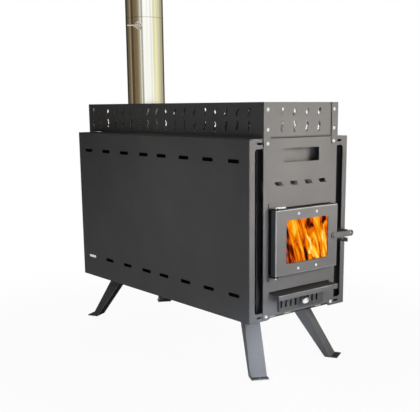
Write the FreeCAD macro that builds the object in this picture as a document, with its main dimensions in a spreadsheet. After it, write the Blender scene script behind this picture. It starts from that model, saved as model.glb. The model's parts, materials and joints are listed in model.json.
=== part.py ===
"""Wood-burning sauna stove with a sheet-steel casing, stone basket, glazed door and flue pipe.

Frame: millimetres, +Z up, -Y towards the door, +X to the right of someone facing the door.
The origin lies on the floor, midway between the four foot holes.
"""
import FreeCAD, Part
import math
import os
import re
import Sketcher

Vector = FreeCAD.Vector

# Driving sizes. Heights ending in _up are counted from the bottom edge of the casing.
SIZES = {
    # casing and screens
    "casing_width": 345,
    "casing_depth": 812,
    "casing_height": 452,
    "casing_sheet": 1.5,
    "casing_bend": 2.5,
    "casing_top_flange": 46,
    "front_rim": 17.5,
    "screen_width": 259,
    "screen_sheet": 2,
    "screen_bottom_up": 9,
    "screen_tab_width": 23,
    "screen_tab_up": 2.5,
    "screen_lap": 18.5,
    "tall_vent_tuck": 2.5,
    "tall_vent_bottom_up": 21,
    "tall_vent_top_drop": 24,
    "tall_vent_corner": 8,
    "rim_slot_length": 17,
    "rim_slot_width": 5.5,
    "rim_slot_inset": 32.5,
    "rim_slot_bottom_up": 11,
    "rim_slot_top_drop": 11.5,
    # rows of slots along the sides
    "side_slot_length": 44,
    "side_slot_width": 9.2,
    "side_slot_middle_gap": 87,
    "side_slot_pitch": 101,
    "side_slot_top_drop": 54,
    "side_slot_bottom_up": 64,
    # grip hole and vents of the screens
    "grip_width": 127,
    "grip_height": 34,
    "grip_corner": 3,
    "grip_centre_drop": 42,
    "screen_vent_width": 22.5,
    "screen_vent_height": 10,
    "screen_vent_lean": 7.4,
    "screen_vent_pitch": 51.3,
    "screen_vent_drop": 111,
    # bottom shield
    "shield_sheet": 2,
    "shield_lip": 12,
    "shield_setback": 12,
    "lip_slot_length": 26,
    "lip_slot_width": 6,
    "lip_slot_pitch": 57,
    # firebox
    "firebox_width": 250,
    "firebox_setback": 28,
    "firebox_plate": 3,
    "top_plate": 4,
    "top_plate_drop": 2,
    "hearth_up": 62,
    "grate_width": 190,
    "grate_length": 290,
    "grate_thickness": 10,
    "grate_setback": 70,
    "grate_slot_width": 8,
    "grate_slot_length": 110,
    "grate_slot_pitch": 18,
    "grate_rib": 14,
    "grate_bearing": 15,
    "baffle_plate_up": 396,
    "baffle_sheet": 4,
    "baffle_length": 280,
    "baffle_side_gap": 4,
    "baffle_rest_leg": 16,
    "baffle_rest_sheet": 3,
    # door frame, door and glass
    "door_centre_up": 197.5,
    "door_width": 222,
    "door_height": 165,
    "door_sheet": 2,
    "door_return": 16.5,
    "door_corner": 3.5,
    "door_standoff": 25.6,
    "collar_width": 216,
    "collar_height": 160,
    "collar_plate": 3,
    "collar_screen_gap": 4,
    "collar_screen_corner": 5,
    "collar_door_gap": 2,
    "collar_gasket_gap": 0.4,
    "window_width": 150,
    "window_height": 110,
    "window_corner": 7,
    "glass_lap": 10,
    "glass_side_lap": 13,
    "liner_window_spare": 9,
    "glass_thickness": 4,
    "glass_tape_thickness": 1,
    "liner_sheet": 1.5,
    "liner_edge_gap": 0.3,
    "door_gasket_width": 4.6,
    "door_gasket_edge_gap": 0.5,
    "glass_screw_spread": 64.5,
    "glass_screw_rise": 69.5,
    # hinge
    "pin_diameter": 4.8,
    "pin_edge_offset": 5,
    "pin_run_gap": 0.1,
    "pin_arm": 25,
    "pin_bend": 3,
    "pin_turn": -20,
    "pin_tail": 4,
    "lug_width": 14,
    "lug_plate": 2.5,
    "lug_door_gap": 0.5,
    "lug_tab": 14,
    # latch
    "lever_height": 16,
    "lever_thickness": 3,
    "lever_pivot_inset": 16.2,
    "lever_reach": 67.7,
    "lever_side_gap": 0.3,
    "lever_hole_diameter": 6,
    "pivot_diameter": 6,
    "keeper_plate": 4,
    "keeper_reach": 42.7,
    "keeper_mouth_gap": 0.5,
    "keeper_top": 5,
    "keeper_pocket_front_gap": 1.5,
    "keeper_pocket_back_gap": 3.5,
    "keeper_pocket_drop": 6,
    "keeper_floor": 4.3,
    # ash drawer and hood
    "drawer_front_width": 161,
    "drawer_front_height": 36,
    "drawer_front_bottom_up": 18,
    "drawer_front_sheet": 2,
    "drawer_front_depth": 6.7,
    "drawer_width": 150,
    "drawer_height": 34,
    "drawer_length": 300,
    "drawer_sheet": 1.2,
    "drawer_sill": 6,
    "drawer_run_gap": 0.3,
    "drawer_side_gap": 1.5,
    "air_slot_width": 6.5,
    "air_slot_height": 18,
    "air_slot_pitch": 17,
    "air_slot_first": 22,
    "knob_diameter": 20,
    "knob_rise": 3.2,
    "knob_reach": 11.5,
    "knob_neck_diameter": 8,
    "knob_screw_diameter": 5,
    "knob_screw_length": 9,
    "knob_bore_spare": 1,
    "hood_width": 214,
    "hood_reach": 34.3,
    "hood_bend": 2,
    "hood_up": 68,
    "hood_sheet": 1.5,
    "hood_lip": 12.5,
    "hood_slit_gap": 2,
    "hood_slit_rise": 4.5,
    "hood_slit_drop": 0.5,
    # stone basket
    "basket_width": 260,
    "basket_height": 85.5,
    "basket_sheet": 1.5,
    "basket_lift": 0.6,
    "basket_side_lift": 2.6,
    "strap_width": 23,
    "strap_tail": 21,
    "strap_corner": 8,
    "strap_screw_inset": 14,
    "strap_screw_top": 17.4,
    "strap_screw_middle": 65,
    "strap_screw_low_drop": 12,
    "hole_pitch": 43.5,
    "side_hole_shift": 13.5,
    "end_hole_shift": 4,
    "hole_height": 20,
    "hole_width": 7.5,
    "hole_lean": 7,
    "hole_row_drop": 23,
    "wave_radius": 6.6,
    "wave_half_height": 5.25,
    "wave_width": 6,
    "wave_row_drop": 58.5,
    # legs
    "leg_height": 147,
    "leg_width": 45,
    "leg_plate": 3,
    "leg_lean": 88.3,
    "leg_turn": 28,
    "leg_flange_top": 41,
    "leg_flange_foot": 20,
    "leg_bend": 4,
    "leg_tab": 50,
    "leg_toe": 15,
    "foot_spread": 278.8,
    "foot_setback": 1,
    "foot_hole_diameter": 6,
    "foot_hole_inset": 8,
    "stud_diameter": 8,
    "stud_first": 15,
    "stud_pitch": 23,
    "stud_length": 16,
    # flue
    "flue_diameter": 115,
    "flue_sheet": 1,
    "flue_setback": 682,
    "flue_joint_up": 814,
    "flue_top_up": 915,
    "flue_spigot": 20,
    "flue_collar_height": 60,
    "flue_collar_plate": 2,
    "flue_slip_gap": 0.2,
    "damper_drop": 45,
    "damper_diameter": 104,
    "damper_sheet": 1.5,
    "spindle_diameter": 6,
    "spindle_turn": 40,
    "spindle_near_reach": 8,
    "spindle_far_reach": 5,
    "spindle_run_gap": 0.1,
    "handle_ring_diameter": 21,
    "handle_hub_diameter": 10,
    "handle_hub_thickness": 5,
    "handle_wire_diameter": 3.6,
    "handle_length": 34,
    "damper_screw_spread": 50,
    "damper_screw_diameter": 3,
    # fasteners and nameplate
    "screw_diameter": 5,
    "screw_head_diameter": 9.6,
    "screw_head_height": 3.2,
    "screw_tail": 2,
    "screw_hole_gap": 0.25,
    "nut_across": 8,
    "nut_height": 4,
    "thread_gap": 0.1,
    "glass_screw_diameter": 4,
    "glass_screw_head_diameter": 8,
    "glass_screw_head_height": 2.6,
    "glass_screw_tail": 0.5,
    "small_nut_across": 7,
    "small_nut_height": 3.2,
    "pivot_nut_across": 10,
    "pivot_nut_height": 5,
    "pivot_head_diameter": 11,
    "pivot_head_height": 3.5,
    "pivot_tail": 0.3,
    "stud_nut_across": 13,
    "stud_nut_height": 6.5,
    "low_screw_inset": 11.5,
    "low_screw_up": 11.4,
    "nameplate_length": 38,
    "nameplate_width": 7.5,
    "nameplate_thickness": 1,
}

# Counts of repeated details.
SIDE_SLOTS_PER_GROUP = 4
SCREEN_VENTS = 4
LIP_SLOTS = 4
GRATE_SLOTS = 9
AIR_SLOTS_LEFT = 4
AIR_SLOTS_RIGHT = 3
BASKET_SIDE_COLUMNS = 18
BASKET_END_COLUMNS = 4
STUDS_PER_LEG = 2

# Each leg with the side of the stove it stands on, along X and along Y.
LEGS = {
    "leg_front_left": (-1, -1),
    "leg_front_right": (1, -1),
    "leg_rear_left": (-1, 1),
    "leg_rear_right": (1, 1),
}

# Two lengths closer than this count as equal when edges are picked.
NEAR = 0.01

# Places worked out from the driving sizes.
PLACES = {
    "front": "-casing_depth / 2",
    "rear": "casing_depth / 2",
    "wall": "casing_width / 2",
    "base": "leg_height",
    "top": "leg_height + casing_height",
    "screen_face": "front - screen_sheet",
    "screen_edge": "screen_width / 2",
    "flange_edge": "screen_edge - screen_lap",
    "shield_top": "base + shield_lip",
    "firebox_front": "front + firebox_setback",
    "firebox_rear": "-firebox_front",
    "firebox_side": "firebox_width / 2",
    "firebox_floor": "shield_top + firebox_plate",
    "firebox_top": "top - top_plate_drop",
    "hearth_top": "base + hearth_up",
    "grate_front": "firebox_front + grate_setback",
    "door_mid": "base + door_centre_up",
    "door_top": "door_mid + door_height / 2",
    "door_bottom": "door_mid - door_height / 2",
    "door_face": "screen_face - door_standoff",
    "door_inside": "door_face + door_sheet",
    "glass_front": "door_inside + glass_tape_thickness",
    "liner_front": "glass_front + glass_thickness + glass_tape_thickness",
    "liner_back": "liner_front + liner_sheet",
    "collar_front": "door_face + door_return + collar_door_gap",
    "gasket_back": "collar_front - collar_gasket_gap",
    "liner_side": "door_width / 2 - door_sheet - liner_edge_gap",
    "liner_rise": "door_height / 2 - door_sheet - liner_edge_gap",
    "gasket_side": "liner_side - door_gasket_edge_gap + liner_edge_gap",
    "gasket_rise": "liner_rise - door_gasket_edge_gap + liner_edge_gap",
    "pin_x": "-door_width / 2 + pin_edge_offset",
    "pin_y": "door_face + pin_edge_offset",
    "lug_top_low": "door_top + lug_door_gap",
    "lug_bottom_low": "door_bottom - lug_door_gap - lug_plate",
    "pivot_x": "door_width / 2 - lever_pivot_inset",
    "lever_back_face": "door_face - lever_side_gap",
    "lever_front_face": "lever_back_face - lever_thickness",
    "pivot_head_face": "lever_front_face - lever_side_gap",
    "keeper_front": "screen_face - keeper_reach",
    "keeper_mouth": "lever_height / 2 + keeper_mouth_gap",
    "drawer_floor": "firebox_floor + drawer_run_gap",
    "drawer_back_of_front": "screen_face - drawer_run_gap",
    "drawer_face": "drawer_back_of_front - drawer_front_depth",
    "drawer_front_mid": "drawer_front_low + drawer_front_height / 2",
    "drawer_front_low": "base + drawer_front_bottom_up",
    "knob_z": "drawer_front_mid + knob_rise",
    "drawer_gate_side": "drawer_width / 2 + drawer_side_gap",
    "drawer_gate_top": "drawer_floor + drawer_height + drawer_side_gap",
    "hood_top": "base + hood_up",
    "hood_front": "screen_face - hood_reach",
    "basket_side": "basket_width / 2",
    "strap_face": "screen_face - basket_sheet",
    "basket_top": "top + basket_lift + basket_height",
    "basket_low": "top + basket_lift",
    "basket_side_low": "top + basket_side_lift",
    "strap_screw_x": "basket_side - strap_screw_inset",
    "low_screw_x": "screen_edge - low_screw_inset",
    "shield_under": "shield_top - shield_sheet",
    "leg_slope": "leg_lean / leg_height",
    "leg_run": "leg_slope * shield_under",
    "leg_skin": "leg_plate * sqrt(1 + leg_slope ^ 2)",
    "leg_top_x": "foot_spread / 2 - leg_run * sin(leg_turn)",
    "leg_top_y": "front + foot_setback + leg_run * cos(leg_turn)",
    "flue_y": "front + flue_setback",
    "flue_radius": "flue_diameter / 2",
    "flue_bore": "flue_radius - flue_sheet",
    "flue_joint": "base + flue_joint_up",
    "flue_top": "base + flue_top_up",
    "damper_z": "flue_joint - damper_drop",
    "spindle_near_end": "-flue_radius - spindle_near_reach",
    "spindle_length": "flue_diameter + spindle_near_reach + spindle_far_reach",
}

doc = FreeCAD.newDocument("sauna_stove")
sizes = doc.addObject("Spreadsheet::Sheet", "sizes")
for row, (alias, size) in enumerate(SIZES.items(), start=1):
    sizes.set(f"A{row}", alias)
    sizes.set(f"B{row}", str(size))
    sizes.setAlias(f"B{row}", alias)
doc.recompute()

nodes = []


# Expressions

def bind(text):
    """Turn the words of a formula into references to the sheet."""
    def swap(match):
        word = match.group(0)
        if word in PLACES:
            return "(" + bind(PLACES[word]) + ")"
        if word in SIZES:
            return "sizes." + word
        return word
    return re.sub(r"[a-z][a-z_]*", swap, text)


def number(text):
    """Value of a formula, in millimetres or degrees."""
    return float(sizes.evalExpression(bind(text)))


def drive(target, **formulas):
    """Bind properties of an object to formulas; a double underscore stands for a dot."""
    for path, text in formulas.items():
        target.setExpression(path.replace("__", "."), bind(text))


def node(item):
    """Register a finished sub-part; its label names its file."""
    nodes.append(item)
    return item


# Sketches and the features made from them

class Outline:
    """A sketch on one of a body's origin planes whose points are bound to formulas."""

    def __init__(self, body, plane, level):
        self.sketch = body.newObject("Sketcher::SketchObject", f"{body.Name}_sketch")
        role = f"{plane}_Plane"
        support = next(f for f in body.Origin.OriginFeatures if f.Role == role)
        self.sketch.AttachmentSupport = [(support, "")]
        self.sketch.MapMode = "FlatFace"
        sign = "-1" if plane == "XZ" else "1"
        drive(self.sketch, AttachmentOffset__Base__z=f"{sign} * ({level})")

    def hold(self, kind, *ends, formula):
        index = self.sketch.addConstraint(Sketcher.Constraint(kind, *ends, number(formula)))
        self.sketch.setExpression(f"Constraints[{index}]", bind(formula))

    def pin_point(self, item, end, x, y):
        self.hold("DistanceX", item, end, formula=x)
        self.hold("DistanceY", item, end, formula=y)

    def polygon(self, *corners):
        points = [Vector(number(x), number(y), 0) for x, y in corners]
        lines = []
        for start, stop in zip(points, points[1:] + points[:1]):
            lines.append(self.sketch.addGeometry(Part.LineSegment(start, stop)))
        for line, following in zip(lines, lines[1:] + lines[:1]):
            self.sketch.addConstraint(Sketcher.Constraint("Coincident", line, 2, following, 1))
        for line, (x, y) in zip(lines, corners):
            self.pin_point(line, 1, x, y)

    def rectangle(self, x0, x1, y0, y1):
        self.polygon((x0, y0), (x1, y0), (x1, y1), (x0, y1))

    def circle(self, x, y, radius):
        centre = Vector(number(x), number(y), 0)
        ring = Part.Circle(centre, Vector(0, 0, 1), number(radius))
        item = self.sketch.addGeometry(ring)
        self.pin_point(item, 3, x, y)
        self.hold("Radius", item, formula=radius)

    def arc(self, centre, radius, start, stop):
        ring = Part.Circle(centre, Vector(0, 0, 1), radius)
        return self.sketch.addGeometry(Part.ArcOfCircle(ring, start, stop))

    def smooth(self, first, first_end, second, second_end):
        joint = Sketcher.Constraint("Tangent", first, first_end, second, second_end)
        self.sketch.addConstraint(joint)

    def rounded(self, centres, radius):
        """Straight sides joined by arcs about the given centres, in anticlockwise order."""
        points = [Vector(number(x), number(y), 0) for x, y in centres]
        reach = number(radius)
        count = len(points)
        headings = []
        for here, there in zip(points, points[1:] + points[:1]):
            headings.append(math.atan2(there.y - here.y, there.x - here.x))
        arcs = []
        lines = []
        for k, here in enumerate(points):
            leave = headings[k] - math.pi / 2
            arrive = headings[k - 1] - math.pi / 2
            while leave < arrive:
                leave += 2 * math.pi
            arcs.append(self.arc(here, reach, arrive, leave))
            side = Vector(math.cos(leave), math.sin(leave), 0) * reach
            there = points[(k + 1) % count]
            lines.append(self.sketch.addGeometry(Part.LineSegment(here + side, there + side)))
        for k in range(count):
            self.smooth(arcs[k], 2, lines[k], 1)
            self.smooth(lines[k], 2, arcs[(k + 1) % count], 1)
        for k, (x, y) in enumerate(centres):
            self.pin_point(arcs[k], 3, x, y)
            self.hold("Radius", arcs[k], formula=radius)

    def rounded_rectangle(self, x0, x1, y0, y1, radius):
        left = f"{x0} + {radius}"
        right = f"{x1} - {radius}"
        low = f"{y0} + {radius}"
        high = f"{y1} - {radius}"
        self.rounded([(left, low), (right, low), (right, high), (left, high)], radius)

    def slot(self, x0, y0, x1, y1, width):
        """Round-ended slot between two end centres."""
        self.rounded([(x0, y0), (x1, y1)], f"{width} / 2")

    def wave(self, x, y, facing):
        """S-shaped slot of two arcs: the upper one bulges towards +facing."""
        radius = number("wave_radius")
        half = number("wave_width") / 2
        rise = number("wave_half_height")
        span = math.sqrt(radius ** 2 - rise ** 2)
        middle = Vector(number(x), number(y), 0)
        tilt = math.atan2(rise, span)
        for side in (1, -1):
            bulge = facing * side
            centre = middle + Vector(-bulge * span, side * rise, 0)
            aim = 0 if bulge > 0 else math.pi
            for edge in (1, -1):
                item = self.arc(centre, radius + edge * half, aim - tilt, aim + tilt)
                self.hold("Radius", item, formula=f"wave_radius + {edge} * wave_width / 2")
            tip = middle + Vector(0, 2 * side * rise, 0)
            outward = math.atan2(side * rise, bulge * span) + facing * math.pi / 2
            self.arc(tip, half, outward - math.pi / 2, outward + math.pi / 2)


def feature(kind, body, outline, depth):
    item = body.newObject(f"PartDesign::{kind}", f"{body.Name}_{kind.lower()}")
    item.Profile = outline.sketch
    drive(item, Length=depth)
    return item


def pad(body, plane, low, depth, draw):
    """Material from the level low over the given depth, along the plane's own axis."""
    level = f"{low} + {depth}" if plane == "XZ" else low
    outline = Outline(body, plane, level)
    draw(outline)
    return feature("Pad", body, outline, depth)


def pocket(body, plane, low, depth, draw):
    """Opening from the level low over the given depth, along the plane's own axis."""
    level = low if plane == "XZ" else f"{low} + {depth}"
    outline = Outline(body, plane, level)
    draw(outline)
    return feature("Pocket", body, outline, depth)


def new_body(label):
    return node(doc.addObject("PartDesign::Body", label))


def plate(label, plane, low, depth, draw):
    """Flat sheet with its openings, cut in one outline."""
    body = new_body(label)
    pad(body, plane, low, depth, draw)
    return body


def repeat(body, item, axis, pitch, count):
    """Row of copies of a pocket along a sketch axis."""
    row_of = body.newObject("PartDesign::LinearPattern", f"{body.Name}_row")
    row_of.Originals = [item]
    row_of.Direction = (item.Profile[0], [axis])
    row_of.Occurrences = count
    drive(row_of, Length=f"{count - 1} * ({pitch})")
    body.Tip = row_of
    return row_of


def round_edges(body, radius, wanted):
    """Fillet the edges of the body's last feature whose middle passes the test."""
    doc.recompute()
    last = body.Tip
    names = []
    for k, edge in enumerate(last.Shape.Edges, start=1):
        span = edge.ParameterRange
        if wanted(edge.valueAt((span[0] + span[1]) / 2)):
            names.append(f"Edge{k}")
    fillet = body.newObject("PartDesign::Fillet", f"{body.Name}_bend")
    fillet.Base = (last, names)
    drive(fillet, Radius=radius)


# Solids made from primitives

TURNS = {
    "z": FreeCAD.Rotation(),
    "-z": FreeCAD.Rotation(Vector(1, 0, 0), 180),
    "x": FreeCAD.Rotation(Vector(0, 1, 0), 90),
    "y": FreeCAD.Rotation(Vector(1, 0, 0), -90),
    "-y": FreeCAD.Rotation(Vector(1, 0, 0), 90),
}


def put(item, x, y, z, axis="z"):
    item.Placement = FreeCAD.Placement(Vector(), TURNS[axis])
    drive(item, Placement__Base__x=x, Placement__Base__y=y, Placement__Base__z=z)
    return item


def block(name, x, y, z):
    """Box from (low, size) formulas along each axis."""
    item = doc.addObject("Part::Box", name)
    drive(item, Length=x[1], Width=y[1], Height=z[1])
    return put(item, x[0], y[0], z[0])


def rod(name, radius, length, x, y, z, axis="z"):
    item = doc.addObject("Part::Cylinder", name)
    drive(item, Radius=radius, Height=length)
    return put(item, x, y, z, axis)


def dome(name, diameter, height, x, y, z, axis):
    """Domed head: the cap of a ball, standing on the given point."""
    ball = f"(({diameter}) ^ 2 / 4 + ({height}) ^ 2) / (2 * ({height}))"
    item = doc.addObject("Part::Sphere", name)
    drive(item, Radius=ball, Angle1=f"asin(({ball} - {height}) / ({ball}))")
    item.Angle2 = 90
    sink = f"({ball} - {height})"
    if axis == "-y":
        return put(item, x, f"{y} + {sink}", z, axis)
    if axis == "y":
        return put(item, x, f"{y} - {sink}", z, axis)
    return put(item, x, y, f"{z} - {sink}", axis)


def join(name, *pieces):
    item = doc.addObject("Part::MultiFuse", name)
    item.Shapes = list(pieces)
    item.Refine = True
    return item


def carve(name, base, *tools):
    item = doc.addObject("Part::Cut", name)
    item.Base = base
    item.Tool = tools[0] if len(tools) == 1 else join(f"{name}_tools", *tools)
    return item


def group(label, pieces):
    """Equal pieces that share one node as separate solids."""
    item = doc.addObject("Part::Compound", label)
    item.Links = pieces
    return node(item)


def swing(item, turn, x, y):
    """Turn a finished piece about the upright line through a point."""
    drive(item, Placement__Rotation__Angle=turn,
          Placement__Base__x=f"{x} * (1 - cos({turn})) + {y} * sin({turn})",
          Placement__Base__y=f"{y} * (1 - cos({turn})) - {x} * sin({turn})")
    return item


def tube(name, radius, bore, length, x, y, z, axis="z"):
    outside = rod(f"{name}_outside", radius, length, x, y, z, axis)
    inside = rod(f"{name}_inside", bore, length, x, y, z, axis)
    return carve(name, outside, inside)


def screw(name, x, y, z, axis, grip, shank, head, head_height, tail):
    """Dome-headed screw whose head seats on the given point and whose shank runs the other way."""
    length = f"{grip} + {tail}"
    start = y if axis == "-y" else f"{y} - ({length})"
    cap = dome(f"{name}_head", head, head_height, x, y, z, axis)
    return join(name, cap, rod(f"{name}_shank", f"{shank} / 2", length, x, start, z, "y"))


def nut(name, across, height, bore, x, y, z, axis):
    """Hexagon nut standing on the given point."""
    prism = doc.addObject("Part::Prism", f"{name}_hexagon")
    prism.Polygon = 6
    drive(prism, Circumradius=f"{across} / sqrt(3)", Height=height)
    put(prism, x, y, z, axis)
    return carve(name, prism, rod(f"{name}_bore", bore, height, x, y, z, axis))


# Casing

def side_slot_rows(outline, badge_place):
    """Two rows of slots along a side; the badge place is left uncut."""
    for row_z in ("top - side_slot_top_drop", "base + side_slot_bottom_up"):
        for end in (-1, 1):
            for k in range(SIDE_SLOTS_PER_GROUP):
                if badge_place and end == 1 and k == SIDE_SLOTS_PER_GROUP - 1 and "base" in row_z:
                    continue
                middle = f"{end} * (side_slot_middle_gap / 2 + {k} * side_slot_pitch)"
                half = "(side_slot_length - side_slot_width) / 2"
                outline.slot(f"{middle} - {half}", row_z, f"{middle} + {half}", row_z, "side_slot_width")


def tall_vent(outline, side):
    edges = sorted(("wall - front_rim", "screen_edge - tall_vent_tuck"), key=number)
    if side < 0:
        edges = [f"-({edge})" for edge in reversed(edges)]
    low = "base + tall_vent_bottom_up"
    high = "top - tall_vent_top_drop"
    outline.rounded_rectangle(edges[0], edges[1], low, high, "tall_vent_corner")


def flange_openings(outline, side):
    """Two rim slots and the screw holes of the front and rear flanges."""
    half = "(rim_slot_length - rim_slot_width) / 2"
    middle = f"{side} * (wall - rim_slot_inset)"
    for z in ("base + rim_slot_bottom_up", "top - rim_slot_top_drop"):
        outline.slot(f"{middle} - {half}", z, f"{middle} + {half}", z, "rim_slot_width")
    hole = "screw_diameter / 2 + screw_hole_gap"
    outline.circle(f"{side} * strap_screw_x", "top - strap_screw_low_drop", hole)
    outline.circle(f"{side} * low_screw_x", "base + low_screw_up", hole)


def casing(label, side):
    """Folded sheet: side wall, front and rear flanges and a narrow top flange."""
    body = new_body(label)
    inner, outer = ("flange_edge", "wall") if side > 0 else ("-wall", "-flange_edge")
    pad(body, "XZ", "front", "casing_depth",
        lambda o: o.rectangle(inner, outer, "base", "top"))
    face = side * number("wall")
    ends = number("rear")
    crown = number("top")
    halfway = number("(base + top) / 2")

    def on_bend(middle):
        """The upright corners of the outer wall and its top edge."""
        upright = abs(abs(middle.y) - ends) < NEAR and abs(middle.z - halfway) < NEAR
        crest = abs(middle.z - crown) < NEAR and abs(middle.y) < NEAR
        return abs(middle.x - face) < NEAR and (upright or crest)

    round_edges(body, "casing_bend", on_bend)
    hollow = "flange_edge" if side > 0 else "-wall + casing_sheet"
    pocket(body, "YZ", hollow, "wall - casing_sheet - flange_edge",
           lambda o: o.rectangle("front + casing_sheet", "rear - casing_sheet",
                                 "base - casing_sheet", "top - casing_sheet"))
    rim = "wall - casing_top_flange"
    trim = ("flange_edge", rim) if side > 0 else (f"-({rim})", "-flange_edge")
    pocket(body, "XY", "top - 2 * casing_sheet", "2 * casing_sheet",
           lambda o: o.rectangle(trim[0], trim[1], "front + casing_sheet", "rear - casing_sheet"))
    skin = "wall - 2 * casing_sheet" if side > 0 else "-wall"
    pocket(body, "YZ", skin, "2 * casing_sheet", lambda o: side_slot_rows(o, side < 0))
    pocket(body, "XZ", "front", "casing_depth", lambda o: flange_openings(o, side))
    pocket(body, "XZ", "front", "casing_sheet", lambda o: tall_vent(o, side))
    return body


casing("left_casing", -1)
casing("right_casing", 1)

badge_half = "(nameplate_length - nameplate_width) / 2"
badge_y = f"(side_slot_middle_gap / 2 + {SIDE_SLOTS_PER_GROUP - 1} * side_slot_pitch)"
badge_z = "base + side_slot_bottom_up"
plate("nameplate", "YZ", "-wall - nameplate_thickness", "nameplate_thickness",
      lambda o: o.slot(f"{badge_y} - {badge_half}", badge_z, f"{badge_y} + {badge_half}", badge_z,
                       "nameplate_width"))


# Screens at the front and rear

def screen_outline(outline):
    tab = "screen_edge - screen_tab_width"
    tab_low = "base + screen_tab_up"
    middle_low = "base + screen_bottom_up"
    outline.polygon(
        ("-screen_edge", tab_low),
        (f"-({tab})", tab_low),
        (f"-({tab})", middle_low),
        (tab, middle_low),
        (tab, tab_low),
        ("screen_edge", tab_low),
        ("screen_edge", "top"),
        ("-screen_edge", "top"),
    )
    grip = "top - grip_centre_drop"
    outline.rounded_rectangle("-grip_width / 2", "grip_width / 2", f"{grip} - grip_height / 2",
                              f"{grip} + grip_height / 2", "grip_corner")
    vent = "top - screen_vent_drop"
    for k in range(SCREEN_VENTS):
        middle = f"{k - (SCREEN_VENTS - 1) / 2} * screen_vent_pitch"
        corners = []
        for end, row in ((-1, -1), (1, -1), (1, 1), (-1, 1)):
            x = f"{middle} + {end} * screen_vent_width / 2 - {row} * screen_vent_lean / 2"
            corners.append((x, f"{vent} + {row} * screen_vent_height / 2"))
        outline.polygon(*corners)
    hole = "screw_diameter / 2 + screw_hole_gap"
    for side in (-1, 1):
        outline.circle(f"{side} * strap_screw_x", "top - strap_screw_low_drop", hole)
        outline.circle(f"{side} * low_screw_x", "base + low_screw_up", hole)


def front_screen_outline(outline):
    screen_outline(outline)
    side = "collar_width / 2 + collar_screen_gap"
    rise = "(collar_height / 2 + collar_screen_gap)"
    outline.rounded_rectangle(f"-({side})", side, f"door_mid - {rise}", f"door_mid + {rise}",
                              "collar_screen_corner")
    slit = "hood_width / 2 + hood_slit_gap"
    outline.rectangle(f"-({slit})", slit, "hood_top - hood_sheet - hood_slit_drop",
                      "hood_top + hood_slit_rise")
    outline.rectangle("-drawer_gate_side", "drawer_gate_side", "firebox_floor", "drawer_gate_top")


plate("front_screen", "XZ", "screen_face", "screen_sheet", front_screen_outline)
plate("rear_screen", "XZ", "rear", "screen_sheet", screen_outline)


# Bottom shield with its downturned lips

shield_side = "(wall - casing_sheet)"
shield_end = "(casing_depth / 2 - shield_setback)"


def stud_place(x_side, y_side, k):
    """Formulas for the place of a leg stud."""
    inward = f"(stud_first + {k} * stud_pitch)"
    x = f"{x_side} * (leg_top_x - {inward} * sin(leg_turn))"
    y = f"{-y_side} * (leg_top_y + {inward} * cos(leg_turn))"
    return x, y


def shield_holes(outline):
    for x_side, y_side in LEGS.values():
        for k in range(STUDS_PER_LEG):
            x, y = stud_place(x_side, y_side, k)
            outline.circle(x, y, "stud_diameter / 2 + screw_hole_gap")


def lip_slots(outline):
    z = "base + shield_lip / 2 - shield_sheet / 2"
    half = "(lip_slot_length - lip_slot_width) / 2"
    for k in range(LIP_SLOTS):
        middle = f"{k - (LIP_SLOTS - 1) / 2} * lip_slot_pitch"
        outline.slot(f"{middle} - {half}", z, f"{middle} + {half}", z, "lip_slot_width")


shield = new_body("bottom_shield")
pad(shield, "XY", "base", "shield_lip",
    lambda o: o.rectangle(f"-{shield_side}", shield_side, f"-{shield_end}", shield_end))
pocket(shield, "XY", "base", "shield_lip - shield_sheet",
       lambda o: o.rectangle(f"-{shield_side} + shield_sheet", f"{shield_side} - shield_sheet",
                             f"-{shield_end} + shield_sheet", f"{shield_end} - shield_sheet"))
pocket(shield, "XZ", f"-{shield_end}", f"2 * {shield_end}", lip_slots)
pocket(shield, "XY", "shield_under", "shield_sheet", shield_holes)


# Firebox

def collar_bore(outline):
    side = "(collar_width / 2 - collar_plate)"
    rise = "(collar_height / 2 - collar_plate)"
    outline.rectangle(f"-{side}", side, f"door_mid - {rise}", f"door_mid + {rise}")


def front_wall_outline(outline):
    outline.rectangle("-firebox_side", "firebox_side", "shield_top", "firebox_top - top_plate")
    collar_bore(outline)
    outline.rectangle("-drawer_gate_side", "drawer_gate_side", "firebox_floor", "drawer_gate_top")


shell = new_body("firebox_shell")
shell_depth = "firebox_rear - firebox_front - 2 * firebox_plate"
pad(shell, "XZ", "firebox_front + firebox_plate", shell_depth,
    lambda o: o.rectangle("-firebox_side", "firebox_side", "shield_top", "firebox_top - top_plate"))
pocket(shell, "XZ", "firebox_front + firebox_plate", shell_depth,
       lambda o: o.rectangle("-firebox_side + firebox_plate", "firebox_side - firebox_plate",
                             "firebox_floor", "firebox_top"))
plate("firebox_front_wall", "XZ", "firebox_front", "firebox_plate", front_wall_outline)
plate("firebox_rear_wall", "XZ", "firebox_rear - firebox_plate", "firebox_plate",
      lambda o: o.rectangle("-firebox_side", "firebox_side", "shield_top", "firebox_top - top_plate"))


def top_plate_outline(outline):
    outline.rectangle("-firebox_side", "firebox_side", "firebox_front", "firebox_rear")
    outline.circle("0", "flue_y", "flue_bore - flue_slip_gap - flue_collar_plate")


plate("firebox_top_plate", "XY", "firebox_top - top_plate", "top_plate", top_plate_outline)


def hearth_outline(outline):
    inside = "(firebox_side - firebox_plate)"
    outline.rectangle(f"-{inside}", inside, "firebox_front + firebox_plate",
                      "firebox_rear - firebox_plate")
    half = "(grate_width / 2 - grate_bearing)"
    outline.rectangle(f"-{half}", half, "grate_front + grate_bearing",
                      "grate_front + grate_length - grate_bearing")


plate("hearth_plate", "XY", "hearth_top - firebox_plate", "firebox_plate", hearth_outline)


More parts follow.
